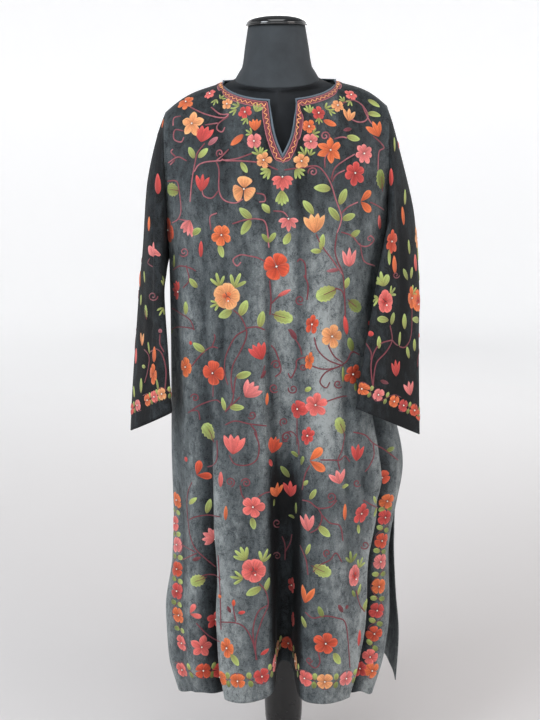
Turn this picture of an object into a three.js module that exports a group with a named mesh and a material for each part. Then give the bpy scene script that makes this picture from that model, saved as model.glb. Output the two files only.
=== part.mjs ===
// Pheran: a long velvet gown with full sleeves, a notched round neck and side slits,
// standing on a limbless dress form with a turned stand.
// Millimetres, +Z up. The origin is on the floor under the stand's axis, the front faces -Y.
import * as THREE from "three";

// Cloth
const WALL = 2;
const SEAM_GAP = 0.3;

// Levels of the body
const CHEST_LEVEL = 1130;
const CORNER_LEVEL = 220;
const YOKE_ROWS = 11;
const SKIRT_ROWS = 18;
const YOKE_CROWDING = 1.15;
const SECTION_STEPS = 360;
const BODY_ROUNDNESS = 2.3;
const SHOULDER_CROWN = 9;
const EVEN_LEVEL = 900;
const SLIT_TOP = 605;
const YOKE_FOLD_REACH = 1.28;
const YOKE_FOLD_HEADROOM = 20;

// Body sections, one row for each level: the side edges and the depth at the centre.
// The side slits start under level 610, where the edges of the two panels part.
const FRONT_SECTIONS = [
  { level: 1130, leftX: -214, rightX: 207, leftY: 0, rightY: 0, depth: -128 },
  { level: 1000, leftX: -216, rightX: 208, leftY: 0, rightY: 0, depth: -131 },
  { level: 850, leftX: -220, rightX: 222, leftY: 0, rightY: 0, depth: -138 },
  { level: 700, leftX: -224, rightX: 250, leftY: 0, rightY: 0, depth: -146 },
  { level: 610, leftX: -224, rightX: 237, leftY: 0, rightY: 0, depth: -151 },
  { level: 510, leftX: -228, rightX: 221, leftY: -28, rightY: -24, depth: -156 },
  { level: 400, leftX: -244, rightX: 223, leftY: -44, rightY: -44, depth: -161 },
  { level: 300, leftX: -241, rightX: 211, leftY: -54, rightY: -64, depth: -165 },
  { level: 220, leftX: -223, rightX: 186, leftY: -63, rightY: -84, depth: -168 },
];
const BACK_SECTIONS = [
  { level: 1130, leftX: -214, rightX: 207, leftY: 0, rightY: 0, depth: 108 },
  { level: 1000, leftX: -216, rightX: 208, leftY: 0, rightY: 0, depth: 112 },
  { level: 850, leftX: -220, rightX: 222, leftY: 0, rightY: 0, depth: 124 },
  { level: 700, leftX: -224, rightX: 250, leftY: 0, rightY: 0, depth: 134 },
  { level: 610, leftX: -224, rightX: 237, leftY: 0, rightY: 0, depth: 139 },
  { level: 510, leftX: -222, rightX: 238, leftY: 10, rightY: 8, depth: 144 },
  { level: 400, leftX: -226, rightX: 244, leftY: 18, rightY: 10, depth: 150 },
  { level: 300, leftX: -224, rightX: 252, leftY: 22, rightY: 8, depth: 155 },
  { level: 190, leftX: -212, rightX: 247, leftY: 26, rightY: 4, depth: 158 },
];

// Folds, one row for each. at is the share of the half width from the centre, width the half width
// of the trough in mm, depth its inward depth at the hem (a ridge has a negative one), start the level
// where it fades out, growth the power of its growth, lean its sideways shift at full depth. flat is the
// power of its floor: 2 for a rounded one, 3 for a flat one with steeper sides. pinch draws the rim of the
// ridge over the trough, on both sides, or on the side that the trough leans to.
const FRONT_FOLDS = [
  { name: "centre", at: 0.02, width: 31, depth: 112, start: 1270, growth: 1.9, lean: 0, flat: 3, pinch: 11 },
  { name: "left step", at: -0.52, width: 19, depth: 42, start: 1110, growth: 1.1, lean: 15, flat: 2, pinch: 9 },
  { name: "right step", at: 0.7, width: 19, depth: 36, start: 1190, growth: 1, lean: -15, flat: 2, pinch: 9 },
  { name: "left ridge", at: -0.29, width: 42, depth: -13, start: 1210, growth: 1, lean: 0, flat: 2, pinch: 0 },
  { name: "right ridge", at: 0.36, width: 40, depth: -13, start: 1160, growth: 1, lean: 0, flat: 2, pinch: 0 },
  { name: "side trough", at: -0.8, width: 24, depth: 11, start: 1270, growth: 0.6, lean: 4, flat: 2, pinch: 0 },
];
const BACK_FOLDS = [
  { name: "centre", at: -0.05, width: 30, depth: 62, start: 1240, growth: 1.7, lean: 6, flat: 3, pinch: 6 },
  { name: "left", at: -0.5, width: 22, depth: 46, start: 1180, growth: 1.2, lean: 10, flat: 2, pinch: 6 },
  { name: "right", at: 0.46, width: 24, depth: 50, start: 1200, growth: 1.2, lean: -10, flat: 2, pinch: 6 },
  { name: "left ridge", at: -0.27, width: 34, depth: -14, start: 1160, growth: 1, lean: 0, flat: 2, pinch: 0 },
  { name: "right ridge", at: 0.22, width: 34, depth: -14, start: 1160, growth: 1, lean: 0, flat: 2, pinch: 0 },
  { name: "side ridge", at: 0.74, width: 26, depth: -10, start: 1100, growth: 0.9, lean: 0, flat: 2, pinch: 0 },
];

// Panels: top edge, yoke and the columns between the top's corners
const FRONT = {
  facing: -1,
  sections: FRONT_SECTIONS,
  folds: FRONT_FOLDS,
  cornerLevel: CORNER_LEVEL,
  hemRise: 31,
  hemArch: 29,
  neckDepth: 97,
  neckDrop: 35,
  armholeDepth: 56,
  yokeDepth: 122,
  notchLeft: -18,
  notchRight: 35,
  notchFootX: 7,
  notchFootY: -121,
  notchFootZ: 1324,
  neckSlope: THREE.MathUtils.degToRad(72),
  columns: [11, 6, 4, 4, 5, 11],
};
const BACK = {
  facing: 1,
  sections: BACK_SECTIONS,
  folds: BACK_FOLDS,
  cornerLevel: 190,
  hemRise: 30,
  hemArch: 8,
  neckDepth: 77,
  neckDrop: -4,
  armholeDepth: 56,
  yokeDepth: 104,
  neckSlope: THREE.MathUtils.degToRad(66),
  columns: [11, 12, 11],
};
const NECK_LEFT = { x: -103, z: 1459 };
const NECK_RIGHT = { x: 111, z: 1459 };
const TIP_LEFT = { x: -211, z: 1406 };
const TIP_RIGHT = { x: 206, z: 1413 };
const CROWN_PLACE = 1.3;
const SHOULDER_SLOPE = THREE.MathUtils.degToRad(7);
const NOTCH_SLOPE = THREE.MathUtils.degToRad(84);
const NOTCH_BOW_LEFT = 6;
const NOTCH_BOW_RIGHT = 8.5;
const NOTCH_BOW_OUT = 4;
const NOTCH_BOW_PLACE = 1.2;
const PINCH_PLACE = 1.25;
const PINCH_WIDTH = 0.45;
const RIDGE_PULL = 1.66;
const ARMHOLE_RETURN = 200;
const ARMHOLE_SPREAD = 6;
const FOLD_EDGE_POWER = 10;
const HEM_ARCH_REACH = 0.25;
const HEM_CORNER_POWER = 4;
const HALFWAY_PULL = 8;

// Sleeves, one row for each ring named by its share of the way to the cuff: the ring's centre, the half
// axis to its outer face and the half axis to its front edge.
const SLEEVE_RINGS = 15;
const SLEEVE_BLEND = 0.2;
const SLEEVE_CORNER = 0.9;
const RIGHT_SLEEVE = [
  { share: 0, x: 206, y: 0, z: 1270, outX: 0, outY: 0, outZ: 137, frontX: 0, frontY: -57, frontZ: 0 },
  { share: 0.12, x: 223, y: -6, z: 1222, outX: 12, outY: 3, outZ: 108, frontX: -9, frontY: -66, frontZ: 0 },
  { share: 0.26, x: 230, y: -20, z: 1154, outX: 17, outY: -4, outZ: 64, frontX: -35, frontY: -67, frontZ: 4 },
  { share: 0.42, x: 226, y: -56, z: 1068, outX: 14, outY: -9, outZ: 26, frontX: -46, frontY: -52, frontZ: 8 },
  { share: 0.62, x: 216, y: -88, z: 975, outX: 10, outY: -11, outZ: 9, frontX: -54, frontY: -44, frontZ: 14 },
  { share: 0.82, x: 210, y: -106, z: 895, outX: 8, outY: -12, outZ: 3, frontX: -60, frontY: -38, frontZ: 26 },
  { share: 1, x: 206, y: -116, z: 824, outX: 7, outY: -13, outZ: 0, frontX: -65, frontY: -32, frontZ: 37 },
];
const LEFT_SLEEVE = [
  { share: 0, x: -211, y: 0, z: 1267, outX: 0, outY: 0, outZ: 137, frontX: 0, frontY: -57, frontZ: 0 },
  { share: 0.12, x: -231, y: -1, z: 1219, outX: -13, outY: 3, outZ: 106, frontX: 5, frontY: -66, frontZ: 0 },
  { share: 0.26, x: -241, y: -5, z: 1150, outX: -18, outY: 0, outZ: 62, frontX: 10, frontY: -70, frontZ: 4 },
  { share: 0.42, x: -250, y: -14, z: 1064, outX: -17, outY: -6, outZ: 26, frontX: 23, frontY: -68, frontZ: 8 },
  { share: 0.62, x: -254, y: -26, z: 968, outX: -14, outY: -8, outZ: 8, frontX: 34, frontY: -62, frontZ: 14 },
  { share: 0.82, x: -257, y: -38, z: 886, outX: -12, outY: -9, outZ: 2, frontX: 41, frontY: -56, frontZ: 24 },
  { share: 1, x: -259, y: -48, z: 808, outX: -11, outY: -10, outZ: 0, frontX: 46, frontY: -50, frontZ: 34 },
];

// Neck binding
const BINDING_WIDTH = 3.6;
const BINDING_THICKNESS = 3;
const BINDING_GAP = 0.5;
const MITRE_LIMIT = 4;

// Dress form: one row for each section, with the tilt that its ring has by the neck
const FORM_SECTIONS = [
  { z: 730, half: 152, front: -78, back: 82, round: 2.2, tilt: 0 },
  { z: 755, half: 170, front: -90, back: 94, round: 2.2, tilt: 0 },
  { z: 840, half: 172, front: -96, back: 96, round: 2.2, tilt: 0 },
  { z: 930, half: 148, front: -92, back: 84, round: 2.1, tilt: 0 },
  { z: 1020, half: 124, front: -84, back: 74, round: 2.1, tilt: 0 },
  { z: 1120, half: 138, front: -98, back: 80, round: 2.1, tilt: 0 },
  { z: 1220, half: 153, front: -116, back: 88, round: 2.2, tilt: 0 },
  { z: 1300, half: 166, front: -106, back: 88, round: 2, tilt: 0 },
  { z: 1350, half: 178, front: -98, back: 82, round: 1.7, tilt: 0 },
  { z: 1385, half: 186, front: -90, back: 76, round: 1.45, tilt: 0 },
  { z: 1408, half: 186, front: -86, back: 72, round: 1.2, tilt: 1 },
  { z: 1424, half: 180.5, front: -82, back: 70, round: 1.05, tilt: 3 },
  { z: 1434, half: 166.5, front: -79, back: 69, round: 1, tilt: 5 },
  { z: 1441, half: 150.5, front: -77, back: 68, round: 1, tilt: 7 },
  { z: 1449, half: 125, front: -75, back: 67, round: 1.05, tilt: 10 },
  { z: 1454, half: 102, front: -74, back: 67, round: 1.3, tilt: 13 },
  { z: 1463, half: 80, front: -73, back: 68, round: 1.9, tilt: 16 },
];
const FORM_SIDES = 28;
const NECK_SECTIONS = [
  { z: 1463, half: 79, front: -72, back: 67, tilt: 16 },
  { z: 1475, half: 72, front: -68, back: 66, tilt: 12 },
  { z: 1487, half: 65, front: -65, back: 65, tilt: 7 },
  { z: 1520, half: 59.5, front: -59.5, back: 59.5, tilt: 3 },
  { z: 1558, half: 53, front: -53, back: 53, tilt: 0 },
];
const TILT_REACH = 70;

// Neck cap: a polished lid with a turned rim
const CAP = { foot: 1558.3, rimRadius: 58, rimHeight: 3.4, domeRadius: 56.2, domeHeight: 16.5 };
const CAP_STEPS = 8;
const CAP_EDGE_ROUND = 1;
const CAP_FULLNESS = 0.8;
const ROUND_SIDES = 28;

// Stand
const POLE = { radius: 16, top: 729.7, foot: 300.3 };
const BULB = [
  { z: 46.3, radius: 27 },
  { z: 62, radius: 29 },
  { z: 78, radius: 34 },
  { z: 97, radius: 38 },
  { z: 122, radius: 40.5 },
  { z: 147, radius: 41 },
  { z: 172, radius: 40 },
  { z: 197, radius: 38 },
  { z: 230, radius: 34 },
  { z: 265, radius: 29 },
  { z: 290, radius: 25 },
  { z: 300, radius: 20 },
];
const BASE = { radius: 138, lip: 5, dome: 38, hubRadius: 32, hubTop: 46, hubDraft: 2 };
const BASE_STEPS = 7;
const BASE_EDGE_ROUND = 1.5;
const BASE_FULLNESS = 1.15;

// Finishes
const VELVET = { color: 0x4c5458, roughness: 0.85, metalness: 0 };
const VELVET_DARK = { color: 0x363c41, roughness: 0.85, metalness: 0 };
const BINDING_CLOTH = { color: 0x55606a, roughness: 0.8, metalness: 0 };
const FORM_CLOTH = { color: 0x2a2d30, roughness: 0.9, metalness: 0 };
const NECK_CLOTH = { color: 0x3c4043, roughness: 0.8, metalness: 0 };
const POLISHED_BLACK = { color: 0x111214, roughness: 0.12, metalness: 0.6 };
const LACQUER = { color: 0x151516, roughness: 0.2, metalness: 0 };
const PAINTED_METAL = { color: 0x1a1a1c, roughness: 0.4, metalness: 0.3 };

const mix = THREE.MathUtils.lerp;
const clamp = THREE.MathUtils.clamp;
const smoothstep = THREE.MathUtils.smoothstep;

// Smooth reading of one column of a table, whose rows are ordered by the key column.
function readTable(rows, key, column, value) {
  const rising = rows[rows.length - 1][key] > rows[0][key] ? 1 : -1;
  let i = 0;
  while (i < rows.length - 2 && (value - rows[i + 1][key]) * rising > 0) i += 1;
  const a = rows[i];
  const b = rows[i + 1];
  const span = b[key] - a[key];
  const slope = (p, q) => (q[column] - p[column]) / (q[key] - p[key]);
  const own = slope(a, b);
  const before = rows[i - 1] ? gentler(slope(rows[i - 1], a), own) : own;
  const after = rows[i + 2] ? gentler(own, slope(b, rows[i + 2])) : own;
  return hermite(a[column], b[column], before * span, after * span, clamp((value - a[key]) / span, 0, 1));
}

// The slope where two stretches of a table meet, flat where it turns, so that nothing overshoots.
function gentler(a, b) {
  return a * b > 0 ? (2 * a * b) / (a + b) : 0;
}

function hermite(from, to, leave, arrive, t) {
  const rest = 1 - t;
  const start = (1 + 2 * t) * rest * rest;
  const end = t * t * (3 - 2 * t);
  return start * from + end * to + t * rest * rest * leave - t * t * rest * arrive;
}

function power(value, exponent) {
  return Math.sign(value) * Math.abs(value) ** exponent;
}

function readSection(panel, level) {
  const read = (column) => readTable(panel.sections, "level", column, level);
  return {
    leftX: read("leftX"),
    rightX: read("rightX"),
    leftY: read("leftY"),
    rightY: read("rightY"),
    depth: read("depth"),
  };
}

// One half section as a fine line in plan, from the left edge to the right one, without folds.
// Each point keeps its share of the half width, from -1 at the left edge to 1 at the right one.
function plainSection(panel, level) {
  const s = readSection(panel, level);
  const points = [];
  for (let i = 0; i <= SECTION_STEPS; i += 1) {
    const angle = (Math.PI * i) / SECTION_STEPS;
    const across = power(Math.cos(angle), 2 / BODY_ROUNDNESS);
    const outward = Math.sin(angle) ** (2 / BODY_ROUNDNESS);
    const left = angle < Math.PI / 2;
    const edgeX = left ? s.leftX : s.rightX;
    const edgeY = left ? s.leftY : s.rightY;
    points.push({ x: edgeX * Math.abs(across), y: mix(edgeY, s.depth, outward) });
  }
  const run = runningLength(points);
  const middle = run[SECTION_STEPS / 2];
  const whole = run[SECTION_STEPS];
  points.forEach((p, i) => {
    p.half = run[i] < middle ? middle : whole - middle;
    p.share = (run[i] - middle) / p.half;
  });
  return points;
}

function runningLength(points) {
  const run = [0];
  for (let i = 1; i < points.length; i += 1) {
    run.push(run[i - 1] + Math.hypot(points[i].x - points[i - 1].x, points[i].y - points[i - 1].y));
  }
  return run;
}

// Inward depth and sideways lean of all the folds at one place.
function foldAt(panel, share, half, level) {
  const fade = 1 - Math.abs(share) ** FOLD_EDGE_POWER;
  let depth = 0;
  let lean = 0;
  for (const fold of panel.folds) {
    const grown = clamp((fold.start - level) / (fold.start - CORNER_LEVEL), 0, 1) ** fold.growth;
    const side = Math.sign(share - fold.at);
    const distance = Math.abs((share - fold.at) * half) / fold.width;
    const form = grown * fade * Math.exp(-(distance ** fold.flat));
    const rim = grown * fade * Math.exp(-(((distance - PINCH_PLACE) / PINCH_WIDTH) ** 2));
    const leaning = side * Math.sign(fold.lean) >= 0 ? -side : 0;
    depth += fold.depth * form;
    lean += fold.lean * form + fold.pinch * rim * leaning;
  }
  return { depth, lean };
}

// The section with its folds, spaced by cloth length where the folds are deep.
function foldedSection(panel, level, shares) {
  const plain = plainSection(panel, level);
  const folded = plain.map((p, i) => {
    const a = plain[Math.max(i - 1, 0)];
    const b = plain[Math.min(i + 1, plain.length - 1)];
    const length = Math.hypot(b.x - a.x, b.y - a.y);
    const alongX = (b.x - a.x) / length;
    const alongY = (b.y - a.y) / length;
    const fold = foldAt(panel, p.share, p.half, level);
    return {
      x: p.x + fold.lean * alongX + fold.depth * panel.facing * alongY,
      y: p.y + fold.lean * alongY - fold.depth * panel.facing * alongX,
    };
  });
  const run = runningLength(folded);
  const whole = run[run.length - 1];
  const even = smoothstep(CHEST_LEVEL - level, 0, CHEST_LEVEL - EVEN_LEVEL);
  return shares.map((share) => {
    const own = readLine(plain.map((p) => p.share), run, share);
    const target = mix(own, ((share + 1) / 2) * whole, even);
    return {
      x: readLine(run, folded.map((p) => p.x), target),
      y: readLine(run, folded.map((p) => p.y), target),
    };
  });
}

// Straight reading of a line of values against rising keys.
function readLine(keys, values, key) {
  let low = 0;
  let high = keys.length - 1;
  while (high - low > 1) {
    const middle = (low + high) >> 1;
    if (keys[middle] <= key) low = middle;
    else high = middle;
  }
  const part = clamp((key - keys[low]) / (keys[high] - keys[low]), 0, 1);
  return mix(values[low], values[high], part);
}

// Shares of the half width where the top edge turns: neck corners, notch corners and notch foot.
function topCorners(panel) {
  const chest = plainSection(panel, CHEST_LEVEL);
  const shareOf = (x) => readLine(chest.map((p) => p.x), chest.map((p) => p.share), x);
  const corners = [-1, shareOf(NECK_LEFT.x)];
  if (panel.notchFootX !== undefined) {
    corners.push(shareOf(panel.notchLeft), shareOf(panel.notchFootX), shareOf(panel.notchRight));
  }
  corners.push(shareOf(NECK_RIGHT.x), 1);
  return corners;
}

function columnShares(panel) {
  const corners = topCorners(panel);
  const shares = [corners[0]];
  panel.columns.forEach((count, i) => {
    for (let k = 1; k <= count; k += 1) shares.push(mix(corners[i], corners[i + 1], k / count));
  });
  return shares;
}

// The round of the neck, a quarter turn from a neck corner at turn 0 to the centre at turn 1.
function neckRound(panel, corner, turn) {
  const sine = Math.sin((Math.PI / 2) * turn);
  const cosine = Math.cos((Math.PI / 2) * turn);
  const point = new THREE.Vector3(
    corner.x * cosine,
    panel.facing * panel.neckDepth * sine,
    corner.z - panel.neckDrop * sine,
  );
  return { point, turn, notch: 0 };
}

// A place on the top edge, with how far it lies round the neck and down the notch.
function topPlace(panel, share) {
  const corners = topCorners(panel);
  const last = corners.length - 1;
  const between = (i) => (share - corners[i]) / (corners[i + 1] - corners[i]);
  if (share <= corners[1]) return shoulderPlace(NECK_LEFT, TIP_LEFT, 1 - between(0));
  if (share >= corners[last - 1]) return shoulderPlace(NECK_RIGHT, TIP_RIGHT, between(last - 1));
  if (panel.notchFootX === undefined) {
    const round = 2 * between(1);
    return round < 1 ? neckRound(panel, NECK_LEFT, round) : neckRound(panel, NECK_RIGHT, 2 - round);
  }
  const leftTurn = turnAt(NECK_LEFT, panel.notchLeft);
  const rightTurn = turnAt(NECK_RIGHT, panel.notchRight);
  if (share <= corners[2]) return neckRound(panel, NECK_LEFT, leftTurn * between(1));
  if (share >= corners[4]) return neckRound(panel, NECK_RIGHT, rightTurn * (1 - between(4)));
  if (share < corners[3]) return notchPlace(panel, neckRound(panel, NECK_LEFT, leftTurn), between(2), -1);
  return notchPlace(panel, neckRound(panel, NECK_RIGHT, rightTurn), 1 - between(3), 1);
}

function turnAt(corner, x) {
  return Math.acos(x / corner.x) / (Math.PI / 2);
}

function notchPlace(panel, top, down, side) {
  const foot = new THREE.Vector3(panel.notchFootX, panel.notchFootY, panel.notchFootZ);
  const point = top.point.clone().lerp(foot, down);
  const bow = Math.sin(Math.PI * down ** NOTCH_BOW_PLACE);
  point.x += side < 0 ? -NOTCH_BOW_LEFT * bow : NOTCH_BOW_RIGHT * bow;
  point.y += panel.facing * NOTCH_BOW_OUT * bow;
  return { point, turn: mix(top.turn, 1, down), notch: down };
}

function shoulderPlace(neck, tip, part) {
  const crown = SHOULDER_CROWN * Math.sin(Math.PI * part ** CROWN_PLACE);
  const point = new THREE.Vector3(mix(neck.x, tip.x, part), 0, mix(neck.z, tip.z, part) + crown);
  return { point, turn: 0, notch: 0 };
}

// One point of the yoke, between the top edge and the chest, by the share down the column.
function yokePoint(panel, share, down) {
  const { point: top, turn, notch } = topPlace(panel, share);
  const [chest] = foldedSection(panel, CHEST_LEVEL, [share]);
  const [below] = foldedSection(panel, CHEST_LEVEL - 1, [share]);
  const fall = top.z - CHEST_LEVEL;
  const slope = mix(mix(SHOULDER_SLOPE, panel.neckSlope, turn), NOTCH_SLOPE, notch);
  const middle = Math.cos((Math.PI * share) / 2) ** 2;
  const halfway = mix(panel.armholeDepth, panel.yokeDepth, middle);
  const returning = -panel.facing * ARMHOLE_RETURN * Math.abs(share) ** ARMHOLE_SPREAD;
  const pull = mix(RIDGE_PULL, 1, turn);
  const arriveY = (below.y - chest.y) * fall * pull + returning;
  const ridgeY = HALFWAY_PULL * (panel.facing * halfway - (top.y + chest.y) / 2) + arriveY;
  const leave = mix(Math.abs(ridgeY), fall, turn);
  return new THREE.Vector3(
    hermite(top.x, chest.x, chest.x - top.x, (below.x - chest.x) * fall * pull, down),
    hermite(top.y, chest.y, panel.facing * leave * Math.cos(slope), arriveY, down),
    hermite(top.z, CHEST_LEVEL, -leave * Math.sin(slope), -fall * pull, down),
  );
}

function hemRise(panel, share) {
  const curve = panel.hemRise * (1 - share ** HEM_CORNER_POWER);
  return curve + panel.hemArch * Math.exp(-((share / HEM_ARCH_REACH) ** 2));
}

function yokeShares() {
  return Array.from({ length: YOKE_ROWS + 1 }, (_, i) => (i / YOKE_ROWS) ** YOKE_CROWDING);
}

// The panel's outer face as rows of points from the top edge to the hem.
function panelFace(panel) {
  const shares = columnShares(panel);
  const rows = yokeShares().map((down) => shares.map((share) => yokePoint(panel, share, down)));
  for (let j = 1; j <= SKIRT_ROWS; j += 1) {
    const part = j / SKIRT_ROWS;
    const level = mix(CHEST_LEVEL, panel.cornerLevel, part);
    const rise = shares.map((share) => hemRise(panel, share) * part ** 2);
    const section = foldedSection(panel, level, shares);
    rows.push(section.map((p, i) => new THREE.Vector3(p.x, p.y, level + rise[i])));
  }
  return rows.map((row, r) => row.map((p, c) => yokeFold(panel, rows, shares[c], r, c).add(p)));
}

// The upper ends of the folds, which run on above the chest.
function yokeFold(panel, rows, share, r, c) {
  if (r >= YOKE_ROWS || r === 0) return new THREE.Vector3();
  const point = rows[r][c];
  const half = Math.abs(readSection(panel, CHEST_LEVEL).leftX) * YOKE_FOLD_REACH;
  const fold = foldAt(panel, share, half, point.z);
  const arriving = foldAt(panel, share, half, CHEST_LEVEL);
  const room = smoothstep(r, 0, YOKE_ROWS / 2);
  const depth = Math.min(fold.depth, arriving.depth + YOKE_FOLD_HEADROOM);
  return new THREE.Vector3(0, -panel.facing * depth * room, 0);
}

function gridNormals(rows, facing, around) {
  const last = rows.length - 1;
  const width = rows[0].length;
  return rows.map((row, r) =>
    row.map((_, c) => {
      const left = around ? (c + width - 1) % width : Math.max(c - 1, 0);
      const right = around ? (c + 1) % width : Math.min(c + 1, width - 1);
      const across = row[right].clone().sub(row[left]);
      const down = rows[Math.min(r + 1, last)][c].clone().sub(rows[Math.max(r - 1, 0)][c]);
      return across.cross(down).multiplyScalar(facing).normalize();
    }),
  );
}

// Wall directions of a panel, squared up along its seams so that the pieces' edges face each other.
function panelNormals(panel, rows) {
  const normals = gridNormals(rows, panel.facing, false);
  const last = rows[0].length - 1;
  const seamEnd = panel.columns[0];
  const shoulder = rows[0].map((_, c) => c <= seamEnd || c >= last - seamEnd);
  normals[0].forEach((normal, c) => {
    if (!shoulder[c]) return;
    const before = rows[0][shoulder[c - 1] ? c - 1 : c];
    const after = rows[0][shoulder[c + 1] ? c + 1 : c];
    normal.set(before.z - after.z, 0, after.x - before.x).normalize();
  });
  normals.forEach((line, r) => {
    [0, last].forEach((c) => {
      if (r < YOKE_ROWS) line[c].setX(0).normalize();
      else if (rows[r][c].z > SLIT_TOP) line[c].setY(0).normalize();
    });
  });
  return normals;
}

function moved(rows, normals, distance) {
  return rows.map((row, r) => row.map((p, c) => p.clone().addScaledVector(normals[r][c], distance)));
}

// A closed wall between two grids of points. A tube's grid closes on itself across its columns.
function wallGeometry(outer, inner, around, flip) {
  const height = outer.length;
  const width = outer[0].length;
  const positions = [...outer.flat(), ...inner.flat()].flatMap((p) => [p.x, p.y, p.z]);
  const index = [];
  const out = (r, c) => r * width + (c % width);
  const inn = (r, c) => height * width + out(r, c);
  const quad = (a, b, c, d) => (flip ? index.push(a, c, b, a, d, c) : index.push(a, b, c, a, c, d));
  const columns = around ? width : width - 1;
  for (let r = 0; r < height - 1; r += 1) {
    for (let c = 0; c < columns; c += 1) {
      quad(out(r, c), out(r + 1, c), out(r + 1, c + 1), out(r, c + 1));
      quad(inn(r, c), inn(r, c + 1), inn(r + 1, c + 1), inn(r + 1, c));
    }
    if (!around) {
      quad(out(r, 0), inn(r, 0), inn(r + 1, 0), out(r + 1, 0));
      quad(out(r, width - 1), out(r + 1, width - 1), inn(r + 1, width - 1), inn(r, width - 1));
    }
  }
  for (let c = 0; c < columns; c += 1) {
    quad(out(0, c), out(0, c + 1), inn(0, c + 1), inn(0, c));
    quad(out(height - 1, c), inn(height - 1, c), inn(height - 1, c + 1), out(height - 1, c + 1));
  }
  return indexed(positions, index);
}

function indexed(positions, index) {
  const geometry = new THREE.BufferGeometry();
  geometry.setAttribute("position", new THREE.Float32BufferAttribute(positions, 3));
  geometry.setIndex(index);
  geometry.computeVertexNormals();
  return geometry;
}

// A solid through closed rings, with flat ends.
function loftGeometry(rings) {
  const width = rings[0].length;
  const centre = (ring) => ring.reduce((sum, p) => sum.add(p), new THREE.Vector3()).divideScalar(width);
  const points = [...rings.flat(), centre(rings[0]), centre(rings[rings.length - 1])];
  const index = [];
  const foot = points.length - 2;
  const head = points.length - 1;
  const top = (rings.length - 1) * width;
  for (let c = 0; c < width; c += 1) {
    const next = (c + 1) % width;
    for (let r = 0; r < rings.length - 1; r += 1) {
      const a = r * width;
      const b = a + width;
      index.push(a + c, a + next, b + next, a + c, b + next, b + c);
    }
    index.push(foot, next, c, head, top + c, top + next);
  }
  return indexed(points.flatMap((p) => [p.x, p.y, p.z]), index);
}

function namedMesh(name, geometry, finish) {
  const mesh = new THREE.Mesh(geometry, new THREE.MeshStandardMaterial(finish));
  mesh.name = name;
  return mesh;
}

function panelFaceApart(panel) {
  const shift = new THREE.Vector3(0, (panel.facing * SEAM_GAP) / 2, 0);
  return panelFace(panel).map((row) => row.map((p) => p.add(shift)));
}

function panelMesh(name, panel, outer) {
  const inner = moved(outer, panelNormals(panel, outer), -WALL);
  return namedMesh(name, wallGeometry(outer, inner, false, panel.facing > 0), VELVET);
}

// The seam line round an armhole, from the shoulder down the front and up the back.
function armholeLoop(front, back, column) {
  const down = front.slice(0, YOKE_ROWS + 1).map((row) => row.at(column).clone());
  const up = back.slice(1, YOKE_ROWS).map((row) => row.at(column).clone());
  return [...down, ...up.reverse()];
}

function sleeveMesh(name, table, loop, side) {
  const width = loop.length;
  const loopCentre = loop.reduce((sum, p) => sum.add(p), new THREE.Vector3()).divideScalar(width);
  const loopNormals = loop.map((p, i) => {
    const along = loop[(i + 1) % width].clone().sub(loop[(i + width - 1) % width]);
    const normal = new THREE.Vector3(0, -along.z, along.y).normalize();
    return normal.dot(p.clone().sub(loopCentre)) < 0 ? normal.negate() : normal;
  });
  const rings = (thinner) =>
    Array.from({ length: SLEEVE_RINGS + 1 }, (_, k) => {
      const share = k / SLEEVE_RINGS;
      const read = (column) => readTable(table, "share", column, share);
      const centre = new THREE.Vector3(read("x"), read("y"), read("z"));
      const out = new THREE.Vector3(read("outX"), read("outY"), read("outZ"));
      const front = new THREE.Vector3(read("frontX"), read("frontY"), read("frontZ"));
      out.setLength(out.length() - thinner);
      front.setLength(front.length() - thinner);
      const own = smoothstep(share, 0, SLEEVE_BLEND);
      return loop.map((seam, i) => {
        const angle = (2 * Math.PI * i) / width;
        const tube = centre
          .clone()
          .addScaledVector(out, power(Math.cos(angle), SLEEVE_CORNER))
          .addScaledVector(front, power(Math.sin(angle), SLEEVE_CORNER));
        const start = seam.clone().addScaledVector(loopNormals[i], -thinner);
        start.x += side * SEAM_GAP;
        return start.lerp(tube, own);
      });
    });
  return namedMesh(name, wallGeometry(rings(0), rings(WALL), true, side > 0), VELVET_DARK);
}

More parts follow.
